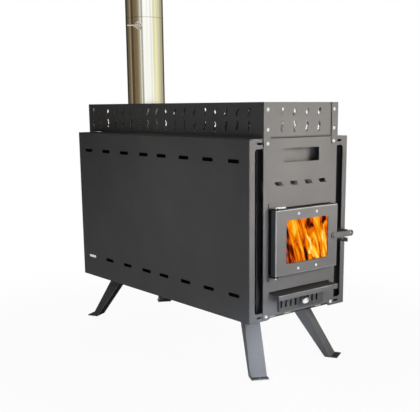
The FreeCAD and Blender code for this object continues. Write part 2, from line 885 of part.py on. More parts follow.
def grate_outline(outline):
    outline.rectangle("-grate_width / 2", "grate_width / 2", "grate_front", "grate_front + grate_length")
    straight = "(grate_slot_length - grate_slot_width) / 2"
    for end in (-1, 1):
        middle = f"grate_front + grate_length / 2 + {end} * (grate_slot_length + grate_rib) / 2"
        for k in range(GRATE_SLOTS):
            x = f"{k - (GRATE_SLOTS - 1) / 2} * grate_slot_pitch"
            outline.slot(x, f"{middle} - {straight}", x, f"{middle} + {straight}", "grate_slot_width")


plate("grate", "XY", "hearth_top", "grate_thickness", grate_outline)

baffle_half = "(firebox_side - firebox_plate - baffle_side_gap)"
baffle_back = "(firebox_rear - firebox_plate)"
plate("baffle_plate", "XY", "base + baffle_plate_up", "baffle_sheet",
      lambda o: o.rectangle(f"-{baffle_half}", baffle_half, f"{baffle_back} - baffle_length",
                            baffle_back))

rests = []
for side, name in ((-1, "left"), (1, "right")):
    inside = "(firebox_side - firebox_plate)"
    ledge_x = f"{inside} - baffle_rest_leg" if side > 0 else f"-{inside}"
    upright_x = f"{inside} - baffle_rest_sheet" if side > 0 else f"-{inside}"
    along = (f"{baffle_back} - baffle_length", "baffle_length")
    ledge_z = "base + baffle_plate_up - baffle_rest_sheet"
    ledge = block(f"baffle_ledge_{name}", (ledge_x, "baffle_rest_leg"), along,
                  (ledge_z, "baffle_rest_sheet"))
    upright = block(f"baffle_upright_{name}", (upright_x, "baffle_rest_sheet"), along,
                    (f"{ledge_z} - baffle_rest_leg", "baffle_rest_leg + baffle_rest_sheet"))
    rests.append(join(f"baffle_rest_{name}", ledge, upright))
group("baffle_rests", rests)


# Frame that carries the door, and the hood above the ash drawer

def collar_outline(outline):
    side = "collar_width / 2"
    outline.rectangle(f"-{side}", side, "door_mid - collar_height / 2", "door_mid + collar_height / 2")
    collar_bore(outline)


plate("door_collar", "XZ", "collar_front", "firebox_front - collar_front", collar_outline)

hood = new_body("ash_hood")
pad(hood, "YZ", "-hood_width / 2", "hood_width", lambda o: o.polygon(
    ("hood_front", "hood_top"),
    ("hood_front", "hood_top - hood_lip"),
    ("hood_front + hood_sheet", "hood_top - hood_lip"),
    ("hood_front + hood_sheet", "hood_top - hood_sheet"),
    ("firebox_front", "hood_top - hood_sheet"),
    ("firebox_front", "hood_top"),
))
hood_fold = number("hood_front"), number("hood_top")
round_edges(hood, "hood_bend", lambda m: abs(m.y - hood_fold[0]) < NEAR and abs(m.z - hood_fold[1]) < NEAR)


# Hinge: two lugs on the front screen and a bent-wire pin through them

lugs = []
for name, low, tab_low in (("top", "lug_top_low", "lug_top_low"),
                           ("bottom", "lug_bottom_low", "lug_bottom_low + lug_plate - lug_tab")):
    arm = block(f"lug_{name}_arm", ("pin_x - lug_width / 2", "lug_width"),
                ("pin_y", "screen_face - pin_y"), (low, "lug_plate"))
    nose = rod(f"lug_{name}_nose", "lug_width / 2", "lug_plate", "pin_x", "pin_y", low)
    tab = block(f"lug_{name}_tab", ("pin_x - lug_width / 2", "lug_width"),
                ("screen_face - lug_plate", "lug_plate"), (tab_low, "lug_tab"))
    eye = rod(f"lug_{name}_eye", "pin_diameter / 2 + pin_run_gap / 2", "lug_plate", "pin_x", "pin_y", low)
    lugs.append(carve(f"lug_{name}", join(f"lug_{name}_body", arm, nose, tab), eye))
group("hinge_lugs", lugs)

pin_low = "(lug_bottom_low - pin_tail)"
pin_high = "(lug_top_low + lug_plate)"
stem = rod("pin_stem", "pin_diameter / 2", f"{pin_high} - {pin_low}", "pin_x", "pin_y", pin_low)
elbow = doc.addObject("Part::Torus", "pin_elbow")
drive(elbow, Radius1="pin_bend", Radius2="pin_diameter / 2")
elbow.Angle3 = 90
put(elbow, "pin_x + pin_bend", "pin_y", pin_high)
elbow.Placement.Rotation = FreeCAD.Rotation(Vector(0, 0, 1), Vector(-1, 0, 0), Vector(0, -1, 0), "XYZ")
arm = rod("pin_arm_rod", "pin_diameter / 2", "pin_arm - pin_bend", "pin_x + pin_bend", "pin_y",
          f"{pin_high} + pin_bend", "x")
node(swing(join("hinge_pin", stem, elbow, arm), "pin_turn", "pin_x", "pin_y"))


# Latch keeper: a plate on edge with a mouth for the lever and a pocket behind its hook

def keeper_outline(outline):
    """Side view, from the screen forwards; the lever enters the mouth from the front."""
    back = "front"
    pocket_front = "lever_front_face - keeper_pocket_front_gap"
    pocket_back = "lever_back_face + keeper_pocket_back_gap"
    mouth_top = "door_mid + keeper_mouth"
    mouth_low = "door_mid - keeper_mouth"
    pocket_low = "door_mid - keeper_mouth - keeper_pocket_drop"
    outline.polygon(
        (back, f"{pocket_low} - keeper_floor"),
        (back, f"{mouth_top} + keeper_top"),
        ("keeper_front", f"{mouth_top} + keeper_top"),
        ("keeper_front", mouth_top),
        (pocket_back, mouth_top),
        (pocket_back, pocket_low),
        (pocket_front, pocket_low),
        (pocket_front, mouth_low),
        ("keeper_front", mouth_low),
        ("keeper_front", f"{pocket_low} - keeper_floor"),
    )


plate("latch_keeper", "YZ", "screen_edge", "keeper_plate", keeper_outline)


# Door: folded pan with a window, glass between tapes, a liner frame and a rope gasket

def window(outline, side_spare="0"):
    side = f"(window_width / 2 + {side_spare})"
    rise = "(window_height / 2)"
    outline.rounded_rectangle(f"-{side}", side, f"door_mid - {rise}", f"door_mid + {rise}", "window_corner")


def glass_edge(outline):
    side = "(window_width / 2 + glass_side_lap)"
    rise = "(window_height / 2 + glass_lap)"
    outline.rectangle(f"-{side}", side, f"door_mid - {rise}", f"door_mid + {rise}")


def glass_screw_places():
    for x_side in (-1, 1):
        for z_side in (-1, 1):
            yield f"{x_side} * glass_screw_spread / 2", f"door_mid + {z_side} * glass_screw_rise"


def glass_screw_holes(outline):
    for x, z in glass_screw_places():
        outline.circle(x, z, "glass_screw_diameter / 2 + screw_hole_gap")


def door_openings(outline):
    window(outline)
    glass_screw_holes(outline)
    outline.circle("pivot_x", "door_mid", "pivot_diameter / 2 + screw_hole_gap")


def door_pan_inside(outline):
    side = "(door_width / 2 - door_sheet)"
    rise = "(door_height / 2 - door_sheet)"
    outline.rectangle(f"-{side}", side, f"door_mid - {rise}", f"door_mid + {rise}")


door = new_body("door_panel")
pad(door, "XZ", "door_face", "door_return",
    lambda o: o.rectangle("-door_width / 2", "door_width / 2", "door_bottom", "door_top"))
door_front_y = number("door_face")
round_edges(door, "door_corner", lambda middle: abs(middle.y - door_front_y) < NEAR)
pocket(door, "XZ", "door_inside", "door_return - door_sheet", door_pan_inside)
pocket(door, "XZ", "door_face", "door_sheet", door_openings)
pocket(door, "XY", "door_bottom", "door_height",
       lambda o: o.circle("pin_x", "pin_y", "pin_diameter / 2 + pin_run_gap"))

plate("door_glass", "XZ", "glass_front", "glass_thickness", glass_edge)


def front_tape_outline(outline):
    glass_edge(outline)
    window(outline)


def back_tape_outline(outline):
    glass_edge(outline)
    window(outline, "liner_window_spare")


tapes = []
for name, low, outline in (("front", "door_inside", front_tape_outline),
                           ("back", "glass_front + glass_thickness", back_tape_outline)):
    body = doc.addObject("PartDesign::Body", f"glass_tape_{name}")
    pad(body, "XZ", low, "glass_tape_thickness", outline)
    tapes.append(body)
group("glass_tape", tapes)


def liner_outline(outline):
    outline.rectangle("-liner_side", "liner_side", "door_mid - liner_rise", "door_mid + liner_rise")
    window(outline, "liner_window_spare")
    glass_screw_holes(outline)


plate("door_liner", "XZ", "liner_front", "liner_sheet", liner_outline)


def gasket_outline(outline):
    for side, rise in (("gasket_side", "gasket_rise"),
                       ("(gasket_side - door_gasket_width)", "(gasket_rise - door_gasket_width)")):
        outline.rectangle(f"-{side}", side, f"door_mid - {rise}", f"door_mid + {rise}")


plate("door_gasket", "XZ", "liner_back", "gasket_back - liner_back", gasket_outline)

glass_screws = []
glass_nuts = []
for k, (x, z) in enumerate(glass_screw_places()):
    glass_screws.append(screw(f"glass_screw_{k}", x, "door_face", z, "-y",
                              "liner_back - door_face + small_nut_height", "glass_screw_diameter",
                              "glass_screw_head_diameter", "glass_screw_head_height",
                              "glass_screw_tail"))
    glass_nuts.append(nut(f"glass_nut_{k}", "small_nut_across", "small_nut_height",
                          "glass_screw_diameter / 2 + thread_gap", x, "liner_back", z, "y"))
group("glass_screws", glass_screws)
group("glass_nuts", glass_nuts)


# Latch lever on its pivot bolt

def lever_outline(outline):
    tip = "pivot_x + lever_reach"
    outline.slot("pivot_x", "door_mid", tip, "door_mid", "lever_height")
    outline.circle("pivot_x", "door_mid", "pivot_diameter / 2 + pin_run_gap")
    outline.circle(tip, "door_mid", "lever_hole_diameter / 2")


plate("latch_lever", "XZ", "lever_front_face", "lever_thickness", lever_outline)
node(screw("latch_bolt", "pivot_x", "pivot_head_face", "door_mid", "-y",
           "door_inside - pivot_head_face + pivot_nut_height", "pivot_diameter",
           "pivot_head_diameter", "pivot_head_height", "pivot_tail"))
node(nut("latch_nut", "pivot_nut_across", "pivot_nut_height", "pivot_diameter / 2 + thread_gap",
         "pivot_x", "door_inside", "door_mid", "y"))


# Ash drawer

drawer_half = "(drawer_width / 2)"
drawer = new_body("ash_drawer")
pad(drawer, "XY", "drawer_floor", "drawer_height",
    lambda o: o.rectangle(f"-{drawer_half}", drawer_half, "drawer_back_of_front",
                          "drawer_back_of_front + drawer_length"))
pocket(drawer, "XY", "drawer_floor + drawer_sheet", "drawer_height - drawer_sheet",
       lambda o: o.rectangle(f"-{drawer_half} + drawer_sheet", f"{drawer_half} - drawer_sheet",
                             "drawer_back_of_front + drawer_sheet",
                             "drawer_back_of_front + drawer_length - drawer_sheet"))
pocket(drawer, "XZ", "drawer_back_of_front", "drawer_sheet",
       lambda o: o.rectangle(f"-{drawer_half} + drawer_sheet", f"{drawer_half} - drawer_sheet",
                             "drawer_floor + drawer_sill", "drawer_floor + drawer_height"))


def drawer_front_block(outline, inset):
    side = f"(drawer_front_width / 2 - {inset})"
    rise = f"(drawer_front_height / 2 - {inset})"
    outline.rectangle(f"-{side}", side, f"drawer_front_mid - {rise}", f"drawer_front_mid + {rise}")


def air_slots(outline):
    """Air slots on both sides of the knob; the row is one slot shorter on the right."""
    for side, count in ((-1, AIR_SLOTS_LEFT), (1, AIR_SLOTS_RIGHT)):
        for k in range(count):
            middle = f"{side} * (air_slot_first + {k} * air_slot_pitch)"
            outline.rectangle(f"{middle} - air_slot_width / 2", f"{middle} + air_slot_width / 2",
                              "drawer_front_mid - air_slot_height / 2",
                              "drawer_front_mid + air_slot_height / 2")
    outline.circle("0", "knob_z", "knob_screw_diameter / 2 + screw_hole_gap")


front = new_body("drawer_front")
pad(front, "XZ", "drawer_face", "drawer_front_depth", lambda o: drawer_front_block(o, "0"))
pocket(front, "XZ", "drawer_face + drawer_front_sheet", "drawer_front_depth - drawer_front_sheet",
       lambda o: drawer_front_block(o, "drawer_front_sheet"))
pocket(front, "XZ", "drawer_face", "drawer_front_sheet", air_slots)

knob_ball = doc.addObject("Part::Sphere", "knob_ball")
drive(knob_ball, Radius="knob_diameter / 2")
put(knob_ball, "0", "drawer_face - knob_reach", "knob_z")
knob_neck = rod("knob_neck", "knob_neck_diameter / 2", "knob_reach", "0", "drawer_face", "knob_z", "-y")
knob_bore = rod("knob_bore", "knob_screw_diameter / 2 + thread_gap",
                "knob_screw_length + knob_bore_spare", "0", "drawer_face", "knob_z", "-y")
node(carve("drawer_knob", join("knob_body", knob_ball, knob_neck), knob_bore))
node(screw("knob_screw", "0", "drawer_face + drawer_front_sheet", "knob_z", "y",
           "drawer_front_sheet", "knob_screw_diameter", "screw_head_diameter",
           "screw_head_height", "knob_screw_length"))


# Stone basket

def basket_holes(outline, x, z_top, facing):
    """One column: a leaning slot above a wave slot."""
    z = f"{z_top} - hole_row_drop"
    rise = "((hole_height - hole_width) / 2)"
    lean = f"({facing} * hole_lean / 2)"
    outline.slot(f"{x} - {lean}", f"{z} - {rise}", f"{x} + {lean}", f"{z} + {rise}", "hole_width")
    outline.wave(x, f"{z_top} - wave_row_drop", facing)


def basket_end(label, low, end):
    """End wall; the rear one is the front one turned half a turn."""
    body = plate(label, "XZ", low, "basket_sheet", lambda o: o.rectangle(
        "-basket_side + basket_sheet", "basket_side - basket_sheet", "basket_low", "basket_top"))
    first = f"-{(BASKET_END_COLUMNS - 1) / 2} * hole_pitch + {end} * end_hole_shift"
    column = pocket(body, "XZ", low, "basket_sheet", lambda o: basket_holes(o, first, "basket_top", -end))
    repeat(body, column, "H_Axis", "hole_pitch", BASKET_END_COLUMNS)
    hole = "screw_diameter / 2 + screw_hole_gap"

    def strap_holes(outline):
        for side in (-1, 1):
            for drop in ("strap_screw_top", "strap_screw_middle"):
                outline.circle(f"{side} * strap_screw_x", f"basket_top - {drop}", hole)

    pocket(body, "XZ", low, "basket_sheet", strap_holes)


def basket_long_side(label, side):
    """Side wall whose ends fold round the corners into straps; both sides are the same sheet."""
    body = new_body(label)
    low = "basket_side - basket_sheet" if side > 0 else "-basket_side"
    ends = "strap_face", "-strap_face"
    pad(body, "YZ", low, "basket_sheet",
        lambda o: o.rectangle(ends[0], ends[1], "basket_side_low", "basket_top"))
    inner = "basket_side - strap_width"
    edges = (inner, "basket_side") if side > 0 else ("-basket_side", f"-({inner})")
    for strap in ("strap_face", "-strap_face - basket_sheet"):
        pad(body, "XZ", strap, "basket_sheet",
            lambda o: o.rectangle(edges[0], edges[1], "top - strap_tail", "basket_top"))
    first = f"-{(BASKET_SIDE_COLUMNS - 1) / 2} * hole_pitch - {side} * side_hole_shift"
    column = pocket(body, "YZ", low, "basket_sheet",
                    lambda o: basket_holes(o, first, "basket_top", side))
    repeat(body, column, "H_Axis", "hole_pitch", BASKET_SIDE_COLUMNS)
    hole = "screw_diameter / 2 + screw_hole_gap"
    heights = ("basket_top - strap_screw_top", "basket_top - strap_screw_middle",
               "top - strap_screw_low_drop")

    def strap_holes(outline):
        for z in heights:
            outline.circle(f"{side} * strap_screw_x", z, hole)

    pocket(body, "XZ", "strap_face", "-2 * strap_face", strap_holes)
    strap_low = number("top - strap_tail")
    strap_middle = number("basket_side - strap_width / 2")

    def on_corner(middle):
        """The short edges at the bottom corners of a strap."""
        return abs(middle.z - strap_low) < NEAR and abs(abs(middle.x) - strap_middle) > NEAR

    round_edges(body, "strap_corner", on_corner)


basket_end("basket_front_end", "screen_face", -1)
basket_end("basket_rear_end", "-screen_face - basket_sheet", 1)
basket_long_side("basket_left_side", -1)
basket_long_side("basket_right_side", 1)


# Screws that hold straps, basket ends and screens, with their nuts

panel_screws = []
panel_nuts = []
for end, face_axis, tail_axis in ((-1, "-y", "y"), (1, "y", "-y")):
    stack = "basket_sheet + screen_sheet + casing_sheet"
    rows = (
        ("strap_screw_x", "basket_top - strap_screw_top", "strap_face", "2 * basket_sheet"),
        ("strap_screw_x", "basket_top - strap_screw_middle", "strap_face", "2 * basket_sheet"),
        ("strap_screw_x", "top - strap_screw_low_drop", "strap_face", stack),
        ("low_screw_x", "base + low_screw_up", "screen_face", "screen_sheet + casing_sheet"),
    )
    for side in (-1, 1):
        for x, z, face, grip in rows:
            k = len(panel_screws)
            seat = f"{-end} * ({face})"
            panel_screws.append(screw(f"panel_screw_{k}", f"{side} * {x}", seat, z, face_axis, grip,
                                      "screw_diameter", "screw_head_diameter", "screw_head_height",
                                      "nut_height + screw_tail"))
            panel_nuts.append(nut(f"panel_nut_{k}", "nut_across", "nut_height",
                                  "screw_diameter / 2 + thread_gap", f"{side} * {x}",
                                  f"{-end} * ({face} + {grip})", z, tail_axis))
group("panel_screws", panel_screws)
group("panel_nuts", panel_nuts)


# Legs: folded channels that lean outwards, with a tab under the shield and a toe on the floor

def leg(label, x_side, y_side):
    """Built upright with -Y outwards, then turned and set under its corner."""
    body = new_body(label)
    half = "(leg_width / 2)"
    pad(body, "YZ", f"-{half}", "leg_width", lambda o: o.polygon(
        ("-leg_run", "0"), ("-leg_run + leg_flange_foot", "0"), ("leg_flange_top", "shield_under"),
        ("0", "shield_under")))
    fold = number("-leg_run / 2"), number("shield_under / 2")
    round_edges(body, "leg_bend", lambda m: abs(m.y - fold[0]) < NEAR and abs(m.z - fold[1]) < NEAR)
    pocket(body, "YZ", f"-{half} + leg_plate", "leg_width - 2 * leg_plate", lambda o: o.polygon(
        ("-leg_run + leg_skin", "0"), ("-leg_run + leg_flange_foot + leg_flange_top", "0"),
        ("2 * leg_flange_top", "shield_under"), ("leg_skin", "shield_under")))
    pad(body, "XY", "shield_under - leg_plate", "leg_plate",
        lambda o: o.rectangle(f"-{half}", half, "-leg_slope * leg_plate", "leg_tab"))
    pad(body, "XY", "0", "leg_plate",
        lambda o: o.rectangle(f"-{half}", half, "-leg_run - leg_toe", "-leg_run + leg_flange_foot"))

    def stud_holes(outline):
        for k in range(STUDS_PER_LEG):
            outline.circle("0", f"stud_first + {k} * stud_pitch", "stud_diameter / 2 + screw_hole_gap")

    pocket(body, "XY", "shield_under - leg_plate", "leg_plate", stud_holes)
    pocket(body, "XY", "0", "leg_plate",
           lambda o: o.circle("0", "-leg_run - foot_hole_inset", "foot_hole_diameter / 2"))
    turn = number("leg_turn")
    angle = x_side * turn if y_side < 0 else 180 - x_side * turn
    body.Placement = FreeCAD.Placement(Vector(), FreeCAD.Rotation(Vector(0, 0, 1), angle))
    drive(body, Placement__Base__x=f"{x_side} * leg_top_x", Placement__Base__y=f"{-y_side} * leg_top_y")


leg_studs = []
leg_nuts = []
for label, (x_side, y_side) in LEGS.items():
    leg(label, x_side, y_side)
    for k in range(STUDS_PER_LEG):
        x, y = stud_place(x_side, y_side, k)
        leg_studs.append(rod(f"{label}_stud_{k}", "stud_diameter / 2", "stud_length", x, y,
                             "shield_top", "-z"))
        leg_nuts.append(nut(f"{label}_nut_{k}", "stud_nut_across", "stud_nut_height",
                            "stud_diameter / 2 + thread_gap", x, y, "shield_under - leg_plate", "-z"))
group("leg_studs", leg_studs)
group("leg_nuts", leg_nuts)


# Flue pipe on its collar, with a damper

node(tube("flue_collar", "flue_bore - flue_slip_gap",
          "flue_bore - flue_slip_gap - flue_collar_plate", "flue_collar_height",
          "0", "flue_y", "firebox_top"))

def turned(label, *pieces):
    """Pieces laid along X, turned about the pipe's axis to the bearing of the damper spindle."""
    item = doc.addObject("Part::Compound", label)
    item.Links = list(pieces)
    return swing(item, "spindle_turn", "0", "flue_y")


pipe = tube("flue_pipe_wall", "flue_radius", "flue_bore", "flue_joint - firebox_top",
            "0", "flue_y", "firebox_top")
spindle_bore = rod("spindle_bore", "spindle_diameter / 2 + spindle_run_gap", "2 * flue_diameter",
                   "-flue_diameter", "flue_y", "damper_z", "x")
node(carve("flue_pipe_lower", pipe, turned("spindle_holes", spindle_bore)))

pipe_run = tube("flue_top_wall", "flue_radius", "flue_bore", "flue_top - flue_joint",
                "0", "flue_y", "flue_joint")
spigot = tube("flue_spigot_wall", "flue_bore - flue_slip_gap", "flue_bore - flue_slip_gap - flue_sheet",
              "flue_spigot", "0", "flue_y", "flue_joint - flue_spigot")
bead = tube("flue_bead", "flue_radius", "flue_bore - flue_slip_gap - flue_sheet", "2 * flue_sheet",
            "0", "flue_y", "flue_joint")
node(join("flue_pipe_upper", pipe_run, spigot, bead))

spindle = rod("spindle_rod", "spindle_diameter / 2", "spindle_length", "spindle_near_end", "flue_y",
              "damper_z", "x")
node(turned("damper_spindle", spindle))
blade = rod("damper_disc", "damper_diameter / 2", "damper_sheet", "0", "flue_y",
            "damper_z + spindle_diameter / 2")
blade_holes = []
damper_screws = []
for side in (-1, 1):
    x = f"{side} * damper_screw_spread / 2"
    name = "near" if side < 0 else "far"
    blade_holes.append(rod(f"blade_hole_{name}", "damper_screw_diameter / 2 + thread_gap", "damper_sheet",
                           x, "flue_y", "damper_z + spindle_diameter / 2"))
    damper_screws.append(dome(f"damper_screw_{name}", "2 * damper_screw_diameter",
                              "damper_screw_diameter / 2", x, "flue_y",
                              "damper_z + spindle_diameter / 2 + damper_sheet", "z"))
node(turned("damper_blade", carve("pierced_disc", blade, *blade_holes)))
node(turned("damper_screws", *damper_screws))

ring_x = "spindle_near_end - handle_hub_thickness / 2"
hub = rod("handle_hub", "handle_hub_diameter / 2", "handle_hub_thickness",
          "spindle_near_end - handle_hub_thickness", "flue_y", "damper_z", "x")
ring = doc.addObject("Part::Torus", "handle_ring")
drive(ring, Radius1="(handle_ring_diameter - handle_wire_diameter) / 2", Radius2="handle_wire_diameter / 2")
put(ring, ring_x, "flue_y", "damper_z", "x")
wire = rod("handle_wire", "handle_wire_diameter / 2", "handle_length", ring_x, "flue_y", "damper_z", "y")
node(turned("damper_handle", join("handle_form", hub, ring, wire)))


# Checks and files

doc.recompute()
for item in doc.Objects:
    faults = [state for state in item.State if state in ("Invalid", "Error")]
    if faults:
        raise RuntimeError(f"{item.Label}: {faults}")
for item in nodes:
    if item.Shape.isNull() or not item.Shape.isValid() or not item.Shape.Solids:
        raise RuntimeError(f"{item.Label}: no valid solid")

os.makedirs("parts", exist_ok=True)
for item in nodes:
    item.Shape.exportStep(f"parts/{item.Label}.step")
print(len(nodes), "sub-parts written")
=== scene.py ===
# %% [markdown]
# # A wood-burning sauna stove
# The stove's plates, door, drawer, basket and pipe arrive from the CAD frame at their real size and
# in their real place. This lesson gives them their finishes, lights a fire behind the glass and
# photographs the stove in a plain white studio. The frame is loaded first, because every finish and
# every added piece takes its place from it.

# %% Load the frame
import json
import math
import random

import bpy
from mathutils import Matrix, Vector, noise


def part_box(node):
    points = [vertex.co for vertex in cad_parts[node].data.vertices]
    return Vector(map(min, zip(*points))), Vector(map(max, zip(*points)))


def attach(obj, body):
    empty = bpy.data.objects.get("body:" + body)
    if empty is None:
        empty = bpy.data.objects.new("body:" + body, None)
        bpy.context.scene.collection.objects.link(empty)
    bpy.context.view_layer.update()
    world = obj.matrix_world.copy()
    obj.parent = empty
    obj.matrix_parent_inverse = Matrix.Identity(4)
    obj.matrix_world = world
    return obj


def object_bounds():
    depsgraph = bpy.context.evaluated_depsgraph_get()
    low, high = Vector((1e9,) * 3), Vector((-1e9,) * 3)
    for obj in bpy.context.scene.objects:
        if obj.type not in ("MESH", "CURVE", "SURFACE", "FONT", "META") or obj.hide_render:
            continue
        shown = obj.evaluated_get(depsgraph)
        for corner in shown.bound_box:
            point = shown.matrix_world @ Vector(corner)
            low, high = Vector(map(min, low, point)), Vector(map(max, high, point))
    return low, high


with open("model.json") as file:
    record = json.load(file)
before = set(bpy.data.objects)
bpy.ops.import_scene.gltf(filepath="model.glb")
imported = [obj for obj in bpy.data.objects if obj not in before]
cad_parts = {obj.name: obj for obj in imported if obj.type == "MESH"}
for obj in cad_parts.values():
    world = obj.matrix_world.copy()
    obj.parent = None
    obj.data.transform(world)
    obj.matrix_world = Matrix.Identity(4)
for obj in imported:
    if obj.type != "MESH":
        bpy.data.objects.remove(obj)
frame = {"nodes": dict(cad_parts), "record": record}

nodes = frame["nodes"]
cad_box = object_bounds()
MM = 0.001
print(len(nodes), "CAD nodes in a box of", [round(high - low, 3) for low, high in zip(*cad_box)], "m")

# %% [markdown]
# ## The camera
# The photograph looks down a little on the stove's front left corner. A camera could be moved by eye
# until the picture fits, but then every later comparison would be near enough at best. Here the
# viewpoint was found by fitting the corners of the casing, so the camera is set from an angle, a place
# and a focal length in pixels. The optical axis does not go through the middle of the picture, and
# the lens shift takes that up, as a view camera does.

# %% Camera
PHOTO_WIDTH = 420
PHOTO_HEIGHT = 412
FOCAL_PIXELS = 758.7
AXIS_PIXEL = (227.8, 263.5)
VIEWPOINT = Vector((-1.3690, -1.7564, 0.6727))
VIEW_AZIMUTH = math.radians(39.875)
VIEW_ELEVATION = math.radians(11.618)
VIEW_ROLL = math.radians(-0.333)

scene = bpy.context.scene
camera = bpy.data.objects.new("camera", bpy.data.cameras.new("camera"))
scene.collection.objects.link(camera)
scene.camera = camera
camera.data.lens = camera.data.sensor_width * FOCAL_PIXELS / PHOTO_WIDTH
camera.data.shift_x = (PHOTO_WIDTH / 2 - AXIS_PIXEL[0]) / PHOTO_WIDTH
camera.data.shift_y = (AXIS_PIXEL[1] - PHOTO_HEIGHT / 2) / PHOTO_WIDTH
level = math.cos(VIEW_ELEVATION)
backwards = Vector((-math.sin(VIEW_AZIMUTH) * level, -math.cos(VIEW_AZIMUTH) * level,
                    math.sin(VIEW_ELEVATION)))
looking = (-backwards).to_track_quat("-Z", "Y").to_matrix().to_4x4()
camera.matrix_world = Matrix.Translation(VIEWPOINT) @ looking @ Matrix.Rotation(VIEW_ROLL, 4, "Z")
print("camera at", [round(v, 2) for v in VIEWPOINT], "with a lens of", round(camera.data.lens, 1), "mm")

# %% [markdown]
# ## Small helpers for materials
# Colours are written as the hex values that a colour picker shows, and turned linear once, because
# shaders add up light and not display values. Nodes could be placed by hand in the shader editor, but
# a script can be read, run again and changed. Every node of every material is added by one helper
# that takes its settings and, for each input, either a value or a link from another node.

# %% Material helpers
# A Mix node has sockets of the same name for numbers, vectors and colours. These are its colour ones.
COLOUR_A = 6
COLOUR_B = 7
COLOUR_MIXED = 2


def linear(hex_colour):
    """An sRGB hex colour as linear red, green and blue, with full alpha."""
    shares = [int(hex_colour[i:i + 2], 16) / 255 for i in (1, 3, 5)]
    return [s / 12.92 if s <= 0.04045 else ((s + 0.055) / 1.055) ** 2.4 for s in shares] + [1.0]


def add(tree, kind, inputs=None, stops=(), **settings):
    """Add a node. An input is a value or a (node, output name) link; stops fill a colour ramp."""
    node = tree.nodes.new("ShaderNode" + kind)
    for name, setting in settings.items():
        setattr(node, name, setting)
    for name, given in (inputs or {}).items():
        if isinstance(given, tuple) and isinstance(given[0], bpy.types.Node):
            tree.links.new(given[0].outputs[given[1]], node.inputs[name])
        else:
            node.inputs[name].default_value = given
    if stops:
        elements = node.color_ramp.elements
        while len(elements) < len(stops):
            elements.new(1.0)
        for element, (position, colour) in zip(elements, stops):
            element.position = position
            element.color = linear(colour)
    return node


def new_material(name):
    """A material with an empty node tree, and that tree."""
    material = bpy.data.materials.new(name)
    material.use_nodes = True
    material.node_tree.nodes.clear()
    return material, material.node_tree


def per_metre(millimetres):
    """Texture scale at which one feature of the pattern is that wide."""
    return 1 / (millimetres * MM)


print("helpers ready")

# %% [markdown]
# ## Heat-proof paint: where light and shade are painted
# Stove plates are sprayed with a matt silicone paint that survives the fire. Along their edges and
# folds the paint's colour carries painted light: painted shade along cut edges, and a painted highlight
# along the legs' edges and on the round of a fold. Such marks could be painted by hand into an image,
# but nodes find the places from the shape itself, at any size. A Bevel node finds cut edges: close to
# one, its rounded normal leaves the true normal of the face. A fold is already round in the mesh, so
# there the surface itself no longer faces along an axis. Each function here adds the nodes for one
# mask, and its last node gives 1 where light or shade is painted and 0 where the paint keeps its own
# colour.

# %% Edges and folds, for painted shade and highlights
EDGE_STARTS = 0.99
EDGE_FULL = 0.75
EDGE_SAMPLES = 6
FOLD_STARTS = 0.98


def cut_edges(tree, width):
    """Along cut edges, over that many millimetres: the casing paints shade there, the legs a highlight."""
    rounded = add(tree, "Bevel", {"Radius": width * MM}, samples=EDGE_SAMPLES)
    facing = add(tree, "NewGeometry")
    turned = add(tree, "VectorMath", {0: (rounded, "Normal"), 1: (facing, "True Normal")},
                 operation="DOT_PRODUCT")
    return add(tree, "MapRange", {"Value": (turned, "Value"), "From Min": EDGE_STARTS,
                                  "From Max": EDGE_FULL})


def folds(tree, full):
    """On the round of a fold, where a highlight is painted, and most where no part of the normal is longer
    than full.
    """
    place = add(tree, "TexCoord")
    lengths = add(tree, "VectorMath", {0: (place, "Normal")}, operation="ABSOLUTE")
    split = add(tree, "SeparateXYZ", {"Vector": (lengths, "Vector")})
    longer = add(tree, "Math", {0: (split, "X"), 1: (split, "Y")}, operation="MAXIMUM")
    longest = add(tree, "Math", {0: (longer, "Value"), 1: (split, "Z")}, operation="MAXIMUM")
    return add(tree, "MapRange", {"Value": (longest, "Value"), "From Min": FOLD_STARTS, "From Max": full})


print("edges and folds can be found")

# %% [markdown]
# Painted shade doesn't keep to edges. It lies in the joints of the basket's end plates, on the arms
# of the hinge lugs beside the door, and over the drawer front under the hood, in clouds and thickest
# round its air slots. The CAD frame says where those joints and arms are, so two of these masks take
# their places from it. The third is a cloud that covers the whole plate.

# %% Painted shade in joints, on hinge arms and on the drawer front
SHADE_EDGE_WIDTH = 1.4
ARM_EDGE = 0.5
SHADE_THIN = 0.35
SHADE_THICK = 0.62


def end_joints(tree, width):
    """Painted shadow along an end plate's joints with the screen below it and the strap beside it."""
    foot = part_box("basket_front_end")[0].z
    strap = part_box("basket_right_side")[0].x
    place = add(tree, "TexCoord")
    split = add(tree, "SeparateXYZ", {"Vector": (place, "Object")})
    below = add(tree, "MapRange", {"Value": (split, "Z"), "From Min": foot, "From Max": foot + width * MM,
                                   "To Min": 1.0, "To Max": 0.0})
    beside = add(tree, "MapRange", {"Value": (split, "X"), "From Min": strap - width * MM,
                                    "From Max": strap})
    return add(tree, "Math", {0: (below, "Result"), 1: (beside, "Result")}, operation="MAXIMUM")


def hinge_arms(tree, height):
    """Painted shade on the arms of the hinge lugs, more than that many millimetres off the screen."""
    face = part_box("front_screen")[0].y
    place = add(tree, "TexCoord")
    split = add(tree, "SeparateXYZ", {"Vector": (place, "Object")})
    return add(tree, "MapRange", {"Value": (split, "Y"), "From Min": face - height * MM,
                                  "From Max": face - (height + ARM_EDGE) * MM})


def cloudy_shade(tree, width):
    """Painted shade all over, in clouds of that many millimetres, and most at cut edges."""
    place = add(tree, "TexCoord")
    cloud = add(tree, "TexNoise", {"Vector": (place, "Object"), "Scale": per_metre(width), "Detail": 2.0})
    cloud_shade = add(tree, "MapRange", {"Value": (cloud, "Fac"), "From Min": 0.3, "From Max": 0.7,
                                   "To Min": SHADE_THIN, "To Max": SHADE_THICK})
    edges = cut_edges(tree, SHADE_EDGE_WIDTH)
    return add(tree, "Math", {0: (cloud_shade, "Result"), 1: (edges, "Result")}, operation="MAXIMUM")


# Painted shade lies within this width of cut edges.
print("soot lies within", SHADE_EDGE_WIDTH, "mm of cut edges")
